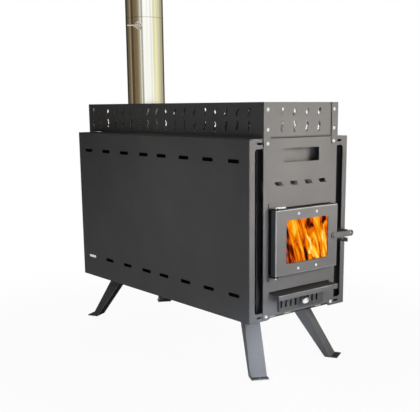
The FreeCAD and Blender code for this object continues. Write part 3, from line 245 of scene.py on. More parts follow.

# %% [markdown]
# ## Heat-proof paint: the coat
# Up close the dry spray leaves a fine grit, and from a step away the coat is slightly uneven in tone.
# The real grit is a fraction of a millimetre wide and would vanish in the render, so it is drawn
# coarser here. The roughness is that of a matt coat with a soft sheen. The specular level is below
# the usual half, because dust and soot dull the sheen. Faces that point up are painted darker, as shade
# for the dim light from above. One function makes the coat, and takes the mask for its painted light as an
# argument.

# %% Paint
PAINT_DARK = "#606061"
PAINT_LIGHT = "#686869"
PAINT_CLOUD = 130
PAINT_GRIT = 1.8
PAINT_GRIT_HEIGHT = 0.05
PAINT_GRIT_SHARE = 0.35
# Faces that point up turn towards this dark grey: painted shade for the dim light from above.
TOP_SHADE = "#262626"
TOP_SHADE_SHARE = 0.82


def stove_paint(name, light_mask, light_mask_size, painted_light_colour, painted_light_share):
    """Matt grey paint that turns towards the colour of its painted shade or highlight where its mask lies.
    """
    material, tree = new_material(name)
    place = add(tree, "TexCoord")
    cloud = add(tree, "TexNoise", {"Vector": (place, "Object"), "Scale": per_metre(PAINT_CLOUD),
                                   "Detail": 3.0})
    grit = add(tree, "TexNoise", {"Vector": (place, "Object"), "Scale": per_metre(PAINT_GRIT),
                                  "Detail": 2.0})
    mottle = add(tree, "Mix", {"Factor": PAINT_GRIT_SHARE, "A": (cloud, "Fac"), "B": (grit, "Fac")})
    tone = add(tree, "ValToRGB", {"Fac": (mottle, "Result")},
               stops=[(0.35, PAINT_DARK), (0.65, PAINT_LIGHT)])
    share = add(tree, "Math", {0: (light_mask(tree, light_mask_size), 0), 1: painted_light_share}, operation="MULTIPLY")
    painted_light = add(tree, "Mix", {"Factor": (share, "Value"), COLOUR_A: (tone, "Color"),
                             COLOUR_B: linear(painted_light_colour)}, data_type="RGBA")
    facing = add(tree, "NewGeometry")
    upward = add(tree, "SeparateXYZ", {"Vector": (facing, "True Normal")})
    # Painted shade on faces that point up.
    facing_up_shade = add(tree, "MapRange", {"Value": (upward, "Z"), "From Min": 0.7, "From Max": 0.95,
                                     "To Min": 0.0, "To Max": TOP_SHADE_SHARE})
    up_shaded = add(tree, "Mix", {"Factor": (facing_up_shade, "Result"), COLOUR_A: (painted_light, COLOUR_MIXED),
                               COLOUR_B: linear(TOP_SHADE)}, data_type="RGBA")
    sheen = add(tree, "MapRange", {"Value": (grit, "Fac"), "To Min": 0.48, "To Max": 0.6})
    bump = add(tree, "Bump", {"Height": (grit, "Fac"), "Strength": 0.3,
                              "Distance": PAINT_GRIT_HEIGHT * MM})
    coat = add(tree, "BsdfPrincipled", {"Base Color": (up_shaded, COLOUR_MIXED), "IOR": 1.5,
                                        "Roughness": (sheen, "Result"), "Specular IOR Level": 0.18,
                                        "Normal": (bump, "Normal")})
    add(tree, "OutputMaterial", {"Surface": (coat, "BSDF")})
    print("made", name)
    return material


print("paint between", PAINT_DARK, "and", PAINT_LIGHT)

# %% [markdown]
# The casing has painted shade along its cut edges. The legs have a painted highlight along theirs,
# and so do the folds of the door and the hood. The basket's ends, the hinge lugs and the drawer front
# are darkened with painted shade. Six calls make these six coats.

# %% Six coats of paint
HIGHLIGHT_EDGE = 2.2
FOLD_FULL = 0.86
JOINT_SHADOW_WIDTH = 5.5
LUG_TAB = 2.6
SHADE_CLOUD = 25

# Each coat's second colour is painted light: shade on the casing, the basket ends, the hinge lugs and the
# drawer front, a highlight on the legs and the folds.
paint = stove_paint("matt_silicone_stove_paint_shaded_at_edges", cut_edges, SHADE_EDGE_WIDTH, "#2b2b2a", painted_light_share=0.65)
leg_paint = stove_paint("stove_paint_highlighted_at_edges", cut_edges, HIGHLIGHT_EDGE, "#c4c8cb", painted_light_share=0.5)
end_paint = stove_paint("stove_paint_shadowed_at_joints", end_joints, JOINT_SHADOW_WIDTH, "#1c1b1a", painted_light_share=0.9)
lug_paint = stove_paint("stove_paint_shaded_on_hinge_arms", hinge_arms, LUG_TAB, "#161616", painted_light_share=0.9)
shaded_drawer_paint = stove_paint("stove_paint_shaded_in_clouds", cloudy_shade, SHADE_CLOUD, "#1c1b1a", painted_light_share=0.88)
fold_paint = stove_paint("stove_paint_highlighted_at_folds", folds, FOLD_FULL, "#cdd1d4", painted_light_share=0.55)

# %% [markdown]
# ## Stainless flue pipe
# The pipe is drawn from bright stainless sheet and reflects the room almost like a mirror. Drawing
# leaves long faint lines along it, and the heat of the smoke tints the lower end straw yellow. An
# anisotropic shader would smear every reflection sideways, but this pipe's bands stay sharp and only
# break up into streaks. So the lines are a noise, stretched more than a hundredfold along the pipe,
# that feeds the roughness and, very faintly, the colour.
#
# The pipe comes in two lengths. The dark gap where the upper one starts is about as narrow as a pixel,
# so the material draws it, as a line at that height.

# %% Stainless
STEEL_PALE = "#fdfdf7"
STEEL_WARM = "#d6d2bf"
STRAW_TINT = "#e6dcb4"
STRAW_SHARE = 0.15
DRAW_LINE = 4
DRAW_STRETCH = 0.006
JOINT_LINE = "#5d5648"
JOINT_HALF_WIDTH = 1.4
JOINT_SHARE = 0.7

pipe_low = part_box("flue_pipe_lower")[0].z
pipe_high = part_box("flue_pipe_upper")[1].z
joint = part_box("flue_pipe_upper")[0].z
stainless, tree = new_material("drawn_stainless_steel")
place = add(tree, "TexCoord")
stretched = add(tree, "Mapping", {"Vector": (place, "Object"), "Scale": (1.0, 1.0, DRAW_STRETCH)})
lines = add(tree, "TexNoise", {"Vector": (stretched, "Vector"), "Scale": per_metre(DRAW_LINE),
                               "Detail": 3.0})
tone = add(tree, "ValToRGB", {"Fac": (lines, "Fac")}, stops=[(0.25, STEEL_WARM), (0.5, STEEL_PALE)])
split = add(tree, "SeparateXYZ", {"Vector": (place, "Object")})
heat = add(tree, "MapRange", {"Value": (split, "Z"), "From Min": pipe_low, "From Max": pipe_high,
                              "To Min": STRAW_SHARE, "To Max": 0.0})
tinted = add(tree, "Mix", {"Factor": (heat, "Result"), COLOUR_A: (tone, "Color"),
                           COLOUR_B: linear(STRAW_TINT)}, data_type="RGBA")
off = add(tree, "Math", {0: (split, "Z"), 1: joint}, operation="SUBTRACT")
away = add(tree, "Math", {0: (off, "Value")}, operation="ABSOLUTE")
gap = add(tree, "MapRange", {"Value": (away, "Value"), "From Min": 0.0, "From Max": JOINT_HALF_WIDTH * MM,
                             "To Min": JOINT_SHARE, "To Max": 0.0})
seamed = add(tree, "Mix", {"Factor": (gap, "Result"), COLOUR_A: (tinted, COLOUR_MIXED),
                           COLOUR_B: linear(JOINT_LINE)}, data_type="RGBA")
gloss = add(tree, "MapRange", {"Value": (lines, "Fac"), "To Min": 0.07, "To Max": 0.16})
steel = add(tree, "BsdfPrincipled", {"Base Color": (seamed, COLOUR_MIXED), "Metallic": 1.0,
                                     "Roughness": (gloss, "Result")})
add(tree, "OutputMaterial", {"Surface": (steel, "BSDF")})
print("made", stainless.name, "for heights of", round(pipe_low, 3), "to", round(pipe_high, 3), "m,",
      "with the joint at", round(joint, 3))

# %% [markdown]
# ## The smaller metals
# Screws, nuts, knob and hinge pin are zinc plated: bright, slightly bluish and a little cloudy. The
# damper's rod and wire are bare drawn steel that has gone dull. The nameplate is brushed aluminium
# with its lines along the plate. Each could have a node tree of its own, but all three are a grey
# metal under a soft noise. They differ in their colour, their roughness and the grain's size and
# direction, so one function makes them.

# %% Zinc, wire and aluminium
EVEN = (1.0, 1.0, 1.0)
ALONG_Y = (1.0, 0.03, 1.0)


def worn_metal(name, dark, light, grain, stretch, smooth, rough):
    """Metal with a grain of that width in millimetres, drawn out along the axes in stretch."""
    material, tree = new_material(name)
    place = add(tree, "TexCoord")
    drawn = add(tree, "Mapping", {"Vector": (place, "Object"), "Scale": stretch})
    cloud = add(tree, "TexNoise", {"Vector": (drawn, "Vector"), "Scale": per_metre(grain), "Detail": 3.0})
    tone = add(tree, "ValToRGB", {"Fac": (cloud, "Fac")}, stops=[(0.3, dark), (0.7, light)])
    gloss = add(tree, "MapRange", {"Value": (cloud, "Fac"), "To Min": smooth, "To Max": rough})
    metal = add(tree, "BsdfPrincipled", {"Base Color": (tone, "Color"), "Metallic": 1.0,
                                         "Roughness": (gloss, "Result")})
    add(tree, "OutputMaterial", {"Surface": (metal, "BSDF")})
    print("made", name)
    return material


zinc = worn_metal("bright_zinc_plating", "#f0f1f1", "#fdfdfc",
                  grain=3, stretch=EVEN, smooth=0.2, rough=0.34)
wire = worn_metal("dull_drawn_steel", "#d6d2c8", "#efebe2",
                  grain=4, stretch=EVEN, smooth=0.35, rough=0.5)
aluminium = worn_metal("brushed_aluminium", "#c9cacb", "#e4e4e2",
                       grain=0.8, stretch=ALONG_Y, smooth=0.25, rough=0.42)

# %% [markdown]
# ## Steel and iron that meet the fire
# The firebox plates are black with soot, with paler ash in clouds, the grate is rough sand-cast iron,
# and the shield under the firebox has the bluish black scale of hot rolling, whose black is also
# painted shade on its lip, set back under the front screen. All are dead matt. They could be metals
# with a high roughness, but soot and scale hide the metal under them, so they are coloured as dark
# coatings.

# %% Soot, cast iron and scale
SOOT_DARK = "#141312"
SOOT_LIGHT = "#262422"
SOOT_CLOUD = 60


def fired(name, dark, light, cloud_size, grain_size, grain_height):
    """Matt black surface with clouds and a grain, sizes in millimetres."""
    material, tree = new_material(name)
    place = add(tree, "TexCoord")
    cloud = add(tree, "TexNoise", {"Vector": (place, "Object"), "Scale": per_metre(cloud_size),
                                   "Detail": 4.0})
    grain = add(tree, "TexNoise", {"Vector": (place, "Object"), "Scale": per_metre(grain_size),
                                   "Detail": 2.0})
    tone = add(tree, "ValToRGB", {"Fac": (cloud, "Fac")}, stops=[(0.35, dark), (0.7, light)])
    bump = add(tree, "Bump", {"Height": (grain, "Fac"), "Strength": 0.5, "Distance": grain_height * MM})
    crust = add(tree, "BsdfPrincipled", {"Base Color": (tone, "Color"), "Roughness": 0.85, "IOR": 1.5,
                                         "Specular IOR Level": 0.2, "Normal": (bump, "Normal")})
    add(tree, "OutputMaterial", {"Surface": (crust, "BSDF")})
    print("made", name)
    return material


soot = fired("sooted_steel_plate", SOOT_DARK, SOOT_LIGHT,
             cloud_size=SOOT_CLOUD, grain_size=2.5, grain_height=0.2)
iron = fired("sand_cast_iron", "#1f1e1d", "#343230", cloud_size=25, grain_size=3, grain_height=0.5)
# Its black is partly the steel's own and partly painted shade for the lip under the front screen.
black_scale_and_shade = fired("hot_rolled_black_steel_and_painted_shade", "#1a1a1b", "#262627",
              cloud_size=40, grain_size=2, grain_height=0.05)

# %% [markdown]
# ## The firebox's front wall
# This plate closes the firebox behind the front screen. Its outside shows through the hand hole and
# the vents and has the same grey paint as the casing, while its inside is black with soot. Two
# material slots could part the faces, but the CAD mesh stays as it is. So one material knows which
# face it is on, from the depth of the point.

# %% Front wall
FACE_DEPTH = 0.5

outer_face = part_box("firebox_front_wall")[0].y
front_wall, tree = new_material("plate_painted_outside_sooted_inside")
place = add(tree, "TexCoord")
split = add(tree, "SeparateXYZ", {"Vector": (place, "Object")})
inside = add(tree, "MapRange", {"Value": (split, "Y"), "From Min": outer_face + 0.5 * FACE_DEPTH * MM,
                                "From Max": outer_face + FACE_DEPTH * MM})
cloud = add(tree, "TexNoise", {"Vector": (place, "Object"), "Scale": per_metre(SOOT_CLOUD), "Detail": 4.0})
painted = add(tree, "ValToRGB", {"Fac": (cloud, "Fac")}, stops=[(0.35, PAINT_DARK), (0.65, PAINT_LIGHT)])
sooted = add(tree, "ValToRGB", {"Fac": (cloud, "Fac")}, stops=[(0.35, SOOT_DARK), (0.7, SOOT_LIGHT)])
tone = add(tree, "Mix", {"Factor": (inside, "Result"), COLOUR_A: (painted, "Color"),
                         COLOUR_B: (sooted, "Color")}, data_type="RGBA")
matt = add(tree, "MapRange", {"Value": (inside, "Result"), "To Min": 0.54, "To Max": 0.85})
two_faced = add(tree, "BsdfPrincipled", {"Base Color": (tone, COLOUR_MIXED), "IOR": 1.5,
                                         "Roughness": (matt, "Result"), "Specular IOR Level": 0.3})
add(tree, "OutputMaterial", {"Surface": (two_faced, "BSDF")})
print("made", front_wall.name, "with its outside at", round(outer_face, 3), "m")

# %% [markdown]
# ## Glass
# The window is a clear heat-proof glass. A transparent shader would be quicker but would mirror
# nothing, so it gets full transmission and an index of refraction near 1.5. Smoke leaves a faint brown
# breath on it, which is a very slow noise in the colour.

# %% Glass
BREATH = 70

glass, tree = new_material("heat_proof_glass")
place = add(tree, "TexCoord")
breath = add(tree, "TexNoise", {"Vector": (place, "Object"), "Scale": per_metre(BREATH), "Detail": 2.0})
tone = add(tree, "ValToRGB", {"Fac": (breath, "Fac")}, stops=[(0.4, "#ffffff"), (0.75, "#f0e6d6")])
pane = add(tree, "BsdfPrincipled", {"Base Color": (tone, "Color"), "Roughness": 0.02, "IOR": 1.5,
                                    "Transmission Weight": 1.0})
add(tree, "OutputMaterial", {"Surface": (pane, "BSDF")})
print("made", glass.name)

# %% [markdown]
# ## Seals
# The gasket and the tapes round the glass are woven glass fibre: pale, soft to the eye and a little
# grey with smoke. Yarns could be modelled, but seals this narrow show only their texture. Two crossed
# waves make the weave, and a little sheen stands for the loose fibres. The real yarn is about a
# millimetre wide and would vanish in the render, so here the weave repeats every six.

# %% Glass fibre
WEAVE = 6.28
WEAVE_DEPTH = 0.3
# Blender's wave texture turns by this many radians in one unit.
WAVE_RADIANS = 20

fibre, tree = new_material("woven_glass_fibre")
place = add(tree, "TexCoord")
wave_scale = per_metre(WEAVE) * 2 * math.pi / WAVE_RADIANS
weft, warp = [add(tree, "TexWave", {"Vector": (place, "Object"), "Scale": wave_scale, "Distortion": 0.5},
                  bands_direction=axis) for axis in "XZ"]
weave = add(tree, "Math", {0: (weft, "Fac"), 1: (warp, "Fac")}, operation="MULTIPLY")
tone = add(tree, "ValToRGB", {"Fac": (weave, "Value")}, stops=[(0.0, "#6d675d"), (0.8, "#b9b2a4")])
bump = add(tree, "Bump", {"Height": (weave, "Value"), "Strength": 0.6, "Distance": WEAVE_DEPTH * MM})
cloth = add(tree, "BsdfPrincipled", {"Base Color": (tone, "Color"), "Roughness": 0.9, "Sheen Weight": 0.3,
                                     "Normal": (bump, "Normal")})
add(tree, "OutputMaterial", {"Surface": (cloth, "BSDF")})
print("made", fibre.name)

# %% [markdown]
# ## Dress the nodes
# Materials could be given to one node after another by name, but with this many nodes one is soon
# forgotten. The record names a finish for every CAD node, so each node takes the material of its slot.
# Some painted plates carry painted shade or a painted highlight of their own, and a second list by node
# gives those their own coat.

# %% Dress the nodes
FINISHES = {
    "heat_paint": paint,
    "bright_steel": zinc,
    "stainless_flue": stainless,
    "damper_steel": wire,
    "firebox_steel": soot,
    "front_wall_steel": front_wall,
    "black_steel": black_scale_and_shade,
    "grate_iron": iron,
    "fire_glass": glass,
    "seal_fibre": fibre,
    "nameplate_metal": aluminium,
}
# Nodes whose coat carries painted shade or a painted highlight.
PAINTED_LIGHT_NODES = {
    "door_panel": fold_paint,
    "ash_hood": fold_paint,
    "hinge_lugs": lug_paint,
    "drawer_front": shaded_drawer_paint,
    "basket_front_end": end_paint,
    "basket_rear_end": end_paint,
    "leg_front_left": leg_paint,
    "leg_front_right": leg_paint,
    "leg_rear_left": leg_paint,
    "leg_rear_right": leg_paint,
}
for part in frame["record"]["subparts"]:
    mesh = nodes[part["node"]].data
    mesh.materials.clear()
    mesh.materials.append(PAINTED_LIGHT_NODES.get(part["node"], FINISHES[part["material_slot"]]))
print(len(FINISHES), "finishes on", len(nodes), "nodes,", len(PAINTED_LIGHT_NODES), "of them worn in their own way")

# %% [markdown]
# ## Charred wood
# Burning logs are black and split into scales, with embers glowing in the cracks. The cracks could be
# cut into the mesh, but seen past flames their glow is all that matters. A Voronoi texture gives the
# distance to the nearest crack, which drives both the glow and the bump. A slow noise stands for the
# draught, which fans some embers more than others.

# %% Charcoal
EMBER_SCALE = 16
EMBER_DEPTH = 2
DRAUGHT = 60

charcoal, tree = new_material("charred_wood_with_embers")
place = add(tree, "TexCoord")
scales = add(tree, "TexVoronoi", {"Vector": (place, "Object"), "Scale": per_metre(EMBER_SCALE)},
             feature="DISTANCE_TO_EDGE")
draught = add(tree, "TexNoise", {"Vector": (place, "Object"), "Scale": per_metre(DRAUGHT), "Detail": 2.0})
tone = add(tree, "ValToRGB", {"Fac": (draught, "Fac")}, stops=[(0.3, "#0c0a09"), (0.75, "#2b231d")])
crack = add(tree, "MapRange", {"Value": (scales, "Distance"), "From Min": 0.0, "From Max": 0.12,
                               "To Min": 1.0, "To Max": 0.0})
fanned = add(tree, "MapRange", {"Value": (draught, "Fac"), "From Min": 0.35, "From Max": 0.65})
glow = add(tree, "Math", {0: (crack, "Result"), 1: (fanned, "Result")}, operation="MULTIPLY")
ember = add(tree, "ValToRGB", {"Fac": (glow, "Value")},
            stops=[(0.0, "#000000"), (0.4, "#a52a00"), (1.0, "#ff9a2c")])
bump = add(tree, "Bump", {"Height": (scales, "Distance"), "Strength": 0.8, "Distance": EMBER_DEPTH * MM})
bark = add(tree, "BsdfPrincipled", {"Base Color": (tone, "Color"), "Roughness": 0.9,
                                    "Normal": (bump, "Normal"), "Emission Color": (ember, "Color"),
                                    "Emission Strength": 1.0})
add(tree, "OutputMaterial", {"Surface": (bark, "BSDF")})
print("made", charcoal.name)

# %% [markdown]
# ## Helpers for meshes
# The fire, the logs and the studio are not CAD pieces, so their meshes are made here, from lists of
# points and faces. That is more work than adding a primitive, but a log and a flame are not cylinders
# and cones. Three helpers do what they share.

# %% Mesh helpers
def mesh_piece(name, points, faces, material):
    """A mesh in the CAD frame, with its points in metres."""
    mesh = bpy.data.meshes.new(name)
    mesh.from_pydata(points, [], faces)
    mesh.materials.append(material)
    piece = bpy.data.objects.new(name, mesh)
    scene.collection.objects.link(piece)
    return piece


def mark_points(piece, name, values):
    """Give each point of a mesh a value that an Attribute node can read."""
    piece.data.attributes.new(name, "FLOAT", "POINT").data.foreach_set("value", values)


def ring_faces(rings, sides, first=0):
    """Quads between neighbouring rings and a cap on both ends, all facing outwards."""
    faces = []
    for r in range(rings - 1):
        for s in range(sides):
            a = first + r * sides + s
            b = first + r * sides + (s + 1) % sides
            faces.append((a, b, b + sides, a + sides))
    faces.append(tuple(first + s for s in reversed(range(sides))))
    faces.append(tuple(first + (rings - 1) * sides + s for s in range(sides)))
    return faces


print("a tube of 3 rings with 4 sides has", len(ring_faces(3, 4)), "faces")

# %% [markdown]
# ## Logs on the grate
# Three logs lie along the firebox, two on the grate and one in the groove between them. A log could be
# a cylinder with a bumpy material, but its outline would give it away. Here it is a tube of rings
# whose radius follows a noise, so that the bark is lumpy. Its flat ends stay sharp, because only the
# four-sided faces round the bark are shaded smooth.

# %% Logs
LOG_RADIUS = 40
LOG_LENGTH = 255
LOG_RINGS = 24
LOG_SIDES = 32
BARK_LUMP = 5
BARK_LUMP_SIZE = 30
TOP_LOG_ASIDE = 4
TOP_LOG_FORWARDS = 6


def log(name, x, y, z, turn):
    """A log with its middle at that place in metres, turned about the vertical by radians."""
    points = []
    swing = Matrix.Translation((x, y, z)) @ Matrix.Rotation(turn, 4, "Z")
    for r in range(LOG_RINGS):
        along = (r / (LOG_RINGS - 1) - 0.5) * LOG_LENGTH
        for s in range(LOG_SIDES):
            angle = -2 * math.pi * s / LOG_SIDES
            smooth = Vector((math.cos(angle) * LOG_RADIUS, along, math.sin(angle) * LOG_RADIUS))
            lump = noise.noise((smooth + Vector((x, 0, z)) / MM) / BARK_LUMP_SIZE) * BARK_LUMP
            radius = LOG_RADIUS + lump
            lumpy = Vector((math.cos(angle) * radius, along, math.sin(angle) * radius))
            points.append(swing @ (lumpy * MM))
    piece = mesh_piece(name, points, ring_faces(LOG_RINGS, LOG_SIDES), charcoal)
    for polygon in piece.data.polygons:
        polygon.use_smooth = len(polygon.vertices) == 4
    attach(piece, "stove")


grate_low, grate_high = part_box("grate")
middle_y = (grate_low.y + grate_high.y) / 2
aside = (LOG_RADIUS + BARK_LUMP) * MM
bed = grate_high.z + aside
log("log_left", -aside, middle_y, bed, turn=0.03)
log("log_right", aside, middle_y, bed, turn=-0.02)
log("log_top", TOP_LOG_ASIDE * MM, middle_y - TOP_LOG_FORWARDS * MM, bed + aside * math.sqrt(3), turn=0.05)
print("logs lie on the grate at", round(grate_high.z, 3), "m")

# %% [markdown]
# ## Flames: the material
# The window is filled by one sheet of fire that leans to the left as it rises. Flames could be a
# volume, but a volume needs many samples and is lost when the model is exported, so they are meshes
# that shine. Every corner of these meshes carries a glow value, and a colour ramp turns glow into the
# colours of hot soot, from dark red through orange to pale yellow. Two noises, drawn out along the
# lean, add the flicker: a broad one that curls and a fine one of streaks.

# %% Flame material
FLAME_LEAN = 0.33
FLAME_STRENGTH = 1.15
FLAME_COLOURS = [(0.0, "#1c0400"), (0.12, "#5e1200"), (0.24, "#b84000"), (0.38, "#e46a00"),
                 (0.54, "#f88800"), (0.7, "#ffa80a"), (0.85, "#ffc832"), (1.0, "#ffee9c")]
CURL_WIDTH = 32
CURL_LENGTH = 95
CURL_DIMS = -0.58
CURL_LIGHTENS = 0.42
STREAK_WIDTH = 9
STREAK_LENGTH = 60
STREAK_SWING = 0.1


def drawn_out(tree, upright, width, length, distortion):
    """Noise that is stretched upwards, with its sizes in millimetres."""
    stretched = add(tree, "Mapping", {"Vector": (upright, "Vector"), "Scale": (1.0, 1.0, width / length)})
    return add(tree, "TexNoise", {"Vector": (stretched, "Vector"), "Scale": per_metre(width),
                                  "Detail": 2.0, "Distortion": distortion})


flame, tree = new_material("flame")
place = add(tree, "TexCoord")
attribute = add(tree, "Attribute", attribute_name="glow")
upright = add(tree, "Mapping", {"Vector": (place, "Object"),
                                "Rotation": (0.0, math.atan(FLAME_LEAN), 0.0)})
curl = drawn_out(tree, upright, CURL_WIDTH, CURL_LENGTH, distortion=1.6)
streak = drawn_out(tree, upright, STREAK_WIDTH, STREAK_LENGTH, distortion=1.2)
broad = add(tree, "MapRange", {"Value": (curl, "Fac"), "From Min": 0.3, "From Max": 0.7,
                               "To Min": CURL_DIMS, "To Max": CURL_LIGHTENS}, clamp=False)
fine = add(tree, "MapRange", {"Value": (streak, "Fac"), "From Min": 0.25, "From Max": 0.75,
                              "To Min": -STREAK_SWING, "To Max": STREAK_SWING}, clamp=False)
flicker = add(tree, "Math", {0: (broad, "Result"), 1: (fine, "Result")}, operation="ADD")
glow = add(tree, "Math", {0: (attribute, "Fac"), 1: (flicker, "Value")}, operation="ADD")
fire = add(tree, "ValToRGB", {"Fac": (glow, "Value")}, stops=FLAME_COLOURS)
light = add(tree, "Emission", {"Color": (fire, "Color"), "Strength": FLAME_STRENGTH})
add(tree, "OutputMaterial", {"Surface": (light, "Emission")})
print("made", flame.name)

# %% [markdown]
# ## Flames: the curtain
# A thin wavy curtain of fire hangs just behind the glass. It is a closed sheet, two millimetres thick,
# that waves to and fro inside the door's collar. It is wider than the window, because the eye looks
# past the window's edges into the collar. The curtain is dimmer below and on the left, where less of
# the wood has caught.

# %% Curtain of fire
# Lengths are in millimetres, and insets are counted from the outside of the collar.
CURTAIN_BEHIND_RIM = 8.1
CURTAIN_INSET_LEFT = 6
CURTAIN_INSET_RIGHT = 5
CURTAIN_INSET_Z = 5.5
CURTAIN_COLUMNS = 42
CURTAIN_ROWS = 24
CURTAIN_THICKNESS = 2
CURTAIN_WAVE = 5
CURTAIN_WAVE_WIDTH = 22
CURTAIN_WAVE_HEIGHT = 70
CURTAIN_GLOW = 0.5
CURTAIN_WAVE_GLOW = 0.14
DIM_RISE = 35
DIM_LEFT = -20
DIM_REACH = 40
DIM_DEPTH = 0.28

points = []
faces = []
glows = []


def curtain(y, left, right, low, high):
    """A wavy closed sheet of fire in millimetres."""
    first = len(points)
    for layer in (0, 1):
        for r in range(CURTAIN_ROWS):
            for c in range(CURTAIN_COLUMNS):
                x = left + (right - left) * c / (CURTAIN_COLUMNS - 1)
                z = low + (high - low) * r / (CURTAIN_ROWS - 1)
                wave = noise.noise(Vector(((x + FLAME_LEAN * z) / CURTAIN_WAVE_WIDTH, 0,
                                           z / CURTAIN_WAVE_HEIGHT)))
                points.append(Vector((x, y + wave * CURTAIN_WAVE + layer * CURTAIN_THICKNESS, z)) * MM)
                dim = max(0, (low + DIM_RISE - z) / DIM_REACH) + max(0, (DIM_LEFT - x) / DIM_REACH)
                glows.append(CURTAIN_GLOW + CURTAIN_WAVE_GLOW * wave - DIM_DEPTH * dim)
    size = CURTAIN_ROWS * CURTAIN_COLUMNS
    for r in range(CURTAIN_ROWS - 1):
        for c in range(CURTAIN_COLUMNS - 1):
            a = first + r * CURTAIN_COLUMNS + c
            b = a + CURTAIN_COLUMNS
            faces.append((a, a + 1, b + 1, b))
            faces.append((a + size, b + size, b + 1 + size, a + 1 + size))
    last_row = (CURTAIN_ROWS - 1) * CURTAIN_COLUMNS
    rim = [*range(CURTAIN_COLUMNS - 1),
           *range(CURTAIN_COLUMNS - 1, last_row + CURTAIN_COLUMNS - 1, CURTAIN_COLUMNS),
           *range(last_row + CURTAIN_COLUMNS - 1, last_row, -1),
           *range(last_row, 0, -CURTAIN_COLUMNS)]
    for a, b in zip(rim, rim[1:] + rim[:1]):
        faces.append((first + b, first + a, first + a + size, first + b + size))


collar_low, collar_high = [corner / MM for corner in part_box("door_collar")]
curtain(collar_low.y + CURTAIN_BEHIND_RIM,
        collar_low.x + CURTAIN_INSET_LEFT, collar_high.x - CURTAIN_INSET_RIGHT,
        collar_low.z + CURTAIN_INSET_Z, collar_high.z - CURTAIN_INSET_Z)
print("curtain of", len(faces), "faces in the collar")

# %% [markdown]
# ## Flames: the tongues
# Separate tongues of flame stand in front of the curtain and give it depth. Each is a thin closed
# blade with a sharp rim, widest low down, drawn out to a point and swaying as it rises. Their places
# and sizes are drawn from a seeded random generator, so that every run gives the same fire. Curtain
# and tongues become one mesh, which stays with the stove when the door opens.

# %% Tongues of fire
# Lengths are in millimetres, and depths and feet are counted from the front and the foot of the collar.
TONGUES = 10
TONGUE_ROWS = 15
TONGUE_FOOT = 0.02
TONGUE_TIP = 0.985
TONGUE_FULLNESS = 0.86
TONGUE_FOOT_POWER = 0.45
TONGUE_TIP_POWER = 0.7
TONGUE_THIN = 0.16
TONGUE_SWAY = 0.5
TONGUE_SWAY_TURN = 5
TONGUE_SWAY_DEPTH = 0.3
TONGUE_DEPTH_TURN = 4
TONGUE_FADE = 0.5
TONGUE_LEFT = -40
TONGUE_SPAN = 150
TONGUE_JITTER = (0.2, 0.8)
TONGUE_DEPTHS = (-0.9, 2.1)
TONGUE_FEET = (9.5, 65.5)
TONGUE_TOP_GAP = 10.5
TONGUE_HEIGHTS = (60, 120)
TONGUE_WIDTHS = (10, 22)
TONGUE_HEATS = (0.7, 0.95)
FIRE_SEED = 11

rng = random.Random(FIRE_SEED)


def tongue(root, height, width, heat):
    """A blade of flame in millimetres, and how bright its ridge burns."""
    first = len(points)
    sway = rng.uniform(-TONGUE_SWAY, TONGUE_SWAY) * width
    phase = rng.uniform(0, 2 * math.pi)
    for r in range(TONGUE_ROWS):
        t = TONGUE_FOOT + (TONGUE_TIP - TONGUE_FOOT) * r / (TONGUE_ROWS - 1)
        half = width * TONGUE_FULLNESS * t ** TONGUE_FOOT_POWER * (1 - t) ** TONGUE_TIP_POWER
        x = root.x - FLAME_LEAN * height * t + sway * math.sin(phase + TONGUE_SWAY_TURN * t) * t
        y = root.y + TONGUE_SWAY_DEPTH * sway * math.cos(phase + TONGUE_DEPTH_TURN * t) * t
        z = root.z + height * t
        thin = half * TONGUE_THIN
        for dx, dy, ridge in ((-half, 0, 0.0), (0, -thin, 1.0), (half, 0, 0.0), (0, thin, 1.0)):
            points.append(Vector((x + dx, y + dy, z)) * MM)
            glows.append(CURTAIN_GLOW + (heat - CURTAIN_GLOW) * ridge * (1 - TONGUE_FADE * t))
    faces.extend(ring_faces(TONGUE_ROWS, sides=4, first=first))


for k in range(TONGUES):
    root = Vector((TONGUE_LEFT + TONGUE_SPAN * (k + rng.uniform(*TONGUE_JITTER)) / TONGUES,
                   collar_low.y + rng.uniform(*TONGUE_DEPTHS),
                   collar_low.z + rng.uniform(*TONGUE_FEET)))
    height = min(rng.uniform(*TONGUE_HEIGHTS), collar_high.z - TONGUE_TOP_GAP - root.z)
    tongue(root, height, rng.uniform(*TONGUE_WIDTHS), rng.uniform(*TONGUE_HEATS))
flames = mesh_piece("flames", points, faces, flame)
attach(flames, "stove")
mark_points(flames, "glow", glows)
for polygon in flames.data.polygons:
    polygon.use_smooth = True
print(TONGUES, "tongues and the curtain have", len(points), "corners")

# %% [markdown]
# ## Studio: a white room
# The photograph is a catalogue picture on white. Strong light could make a grey room white, but it
# would bleach the stove as well. Instead the world gives surfaces only a dim light, weaker from the
# ceiling than from the walls, and is plain white wherever the camera, a mirror or the glass looks at
# it. A Light Path node tells the two apart.

# %% World
AMBIENT = 0.045
AMBIENT_ABOVE = 0.01
AMBIENT_COLOUR = "#f2f6ff"
CEILING_FROM = 0.05
CEILING_TO = 0.7
WHITE = "#ffffff"


def seen_directly(tree):
    """1 for camera, glossy and transmission rays, 0 for the rays that carry light to surfaces."""
    path = add(tree, "LightPath")
    seen = add(tree, "Math", {0: (path, "Is Camera Ray"), 1: (path, "Is Glossy Ray")}, operation="MAXIMUM")
    return add(tree, "Math", {0: (seen, "Value"), 1: (path, "Is Transmission Ray")}, operation="MAXIMUM")


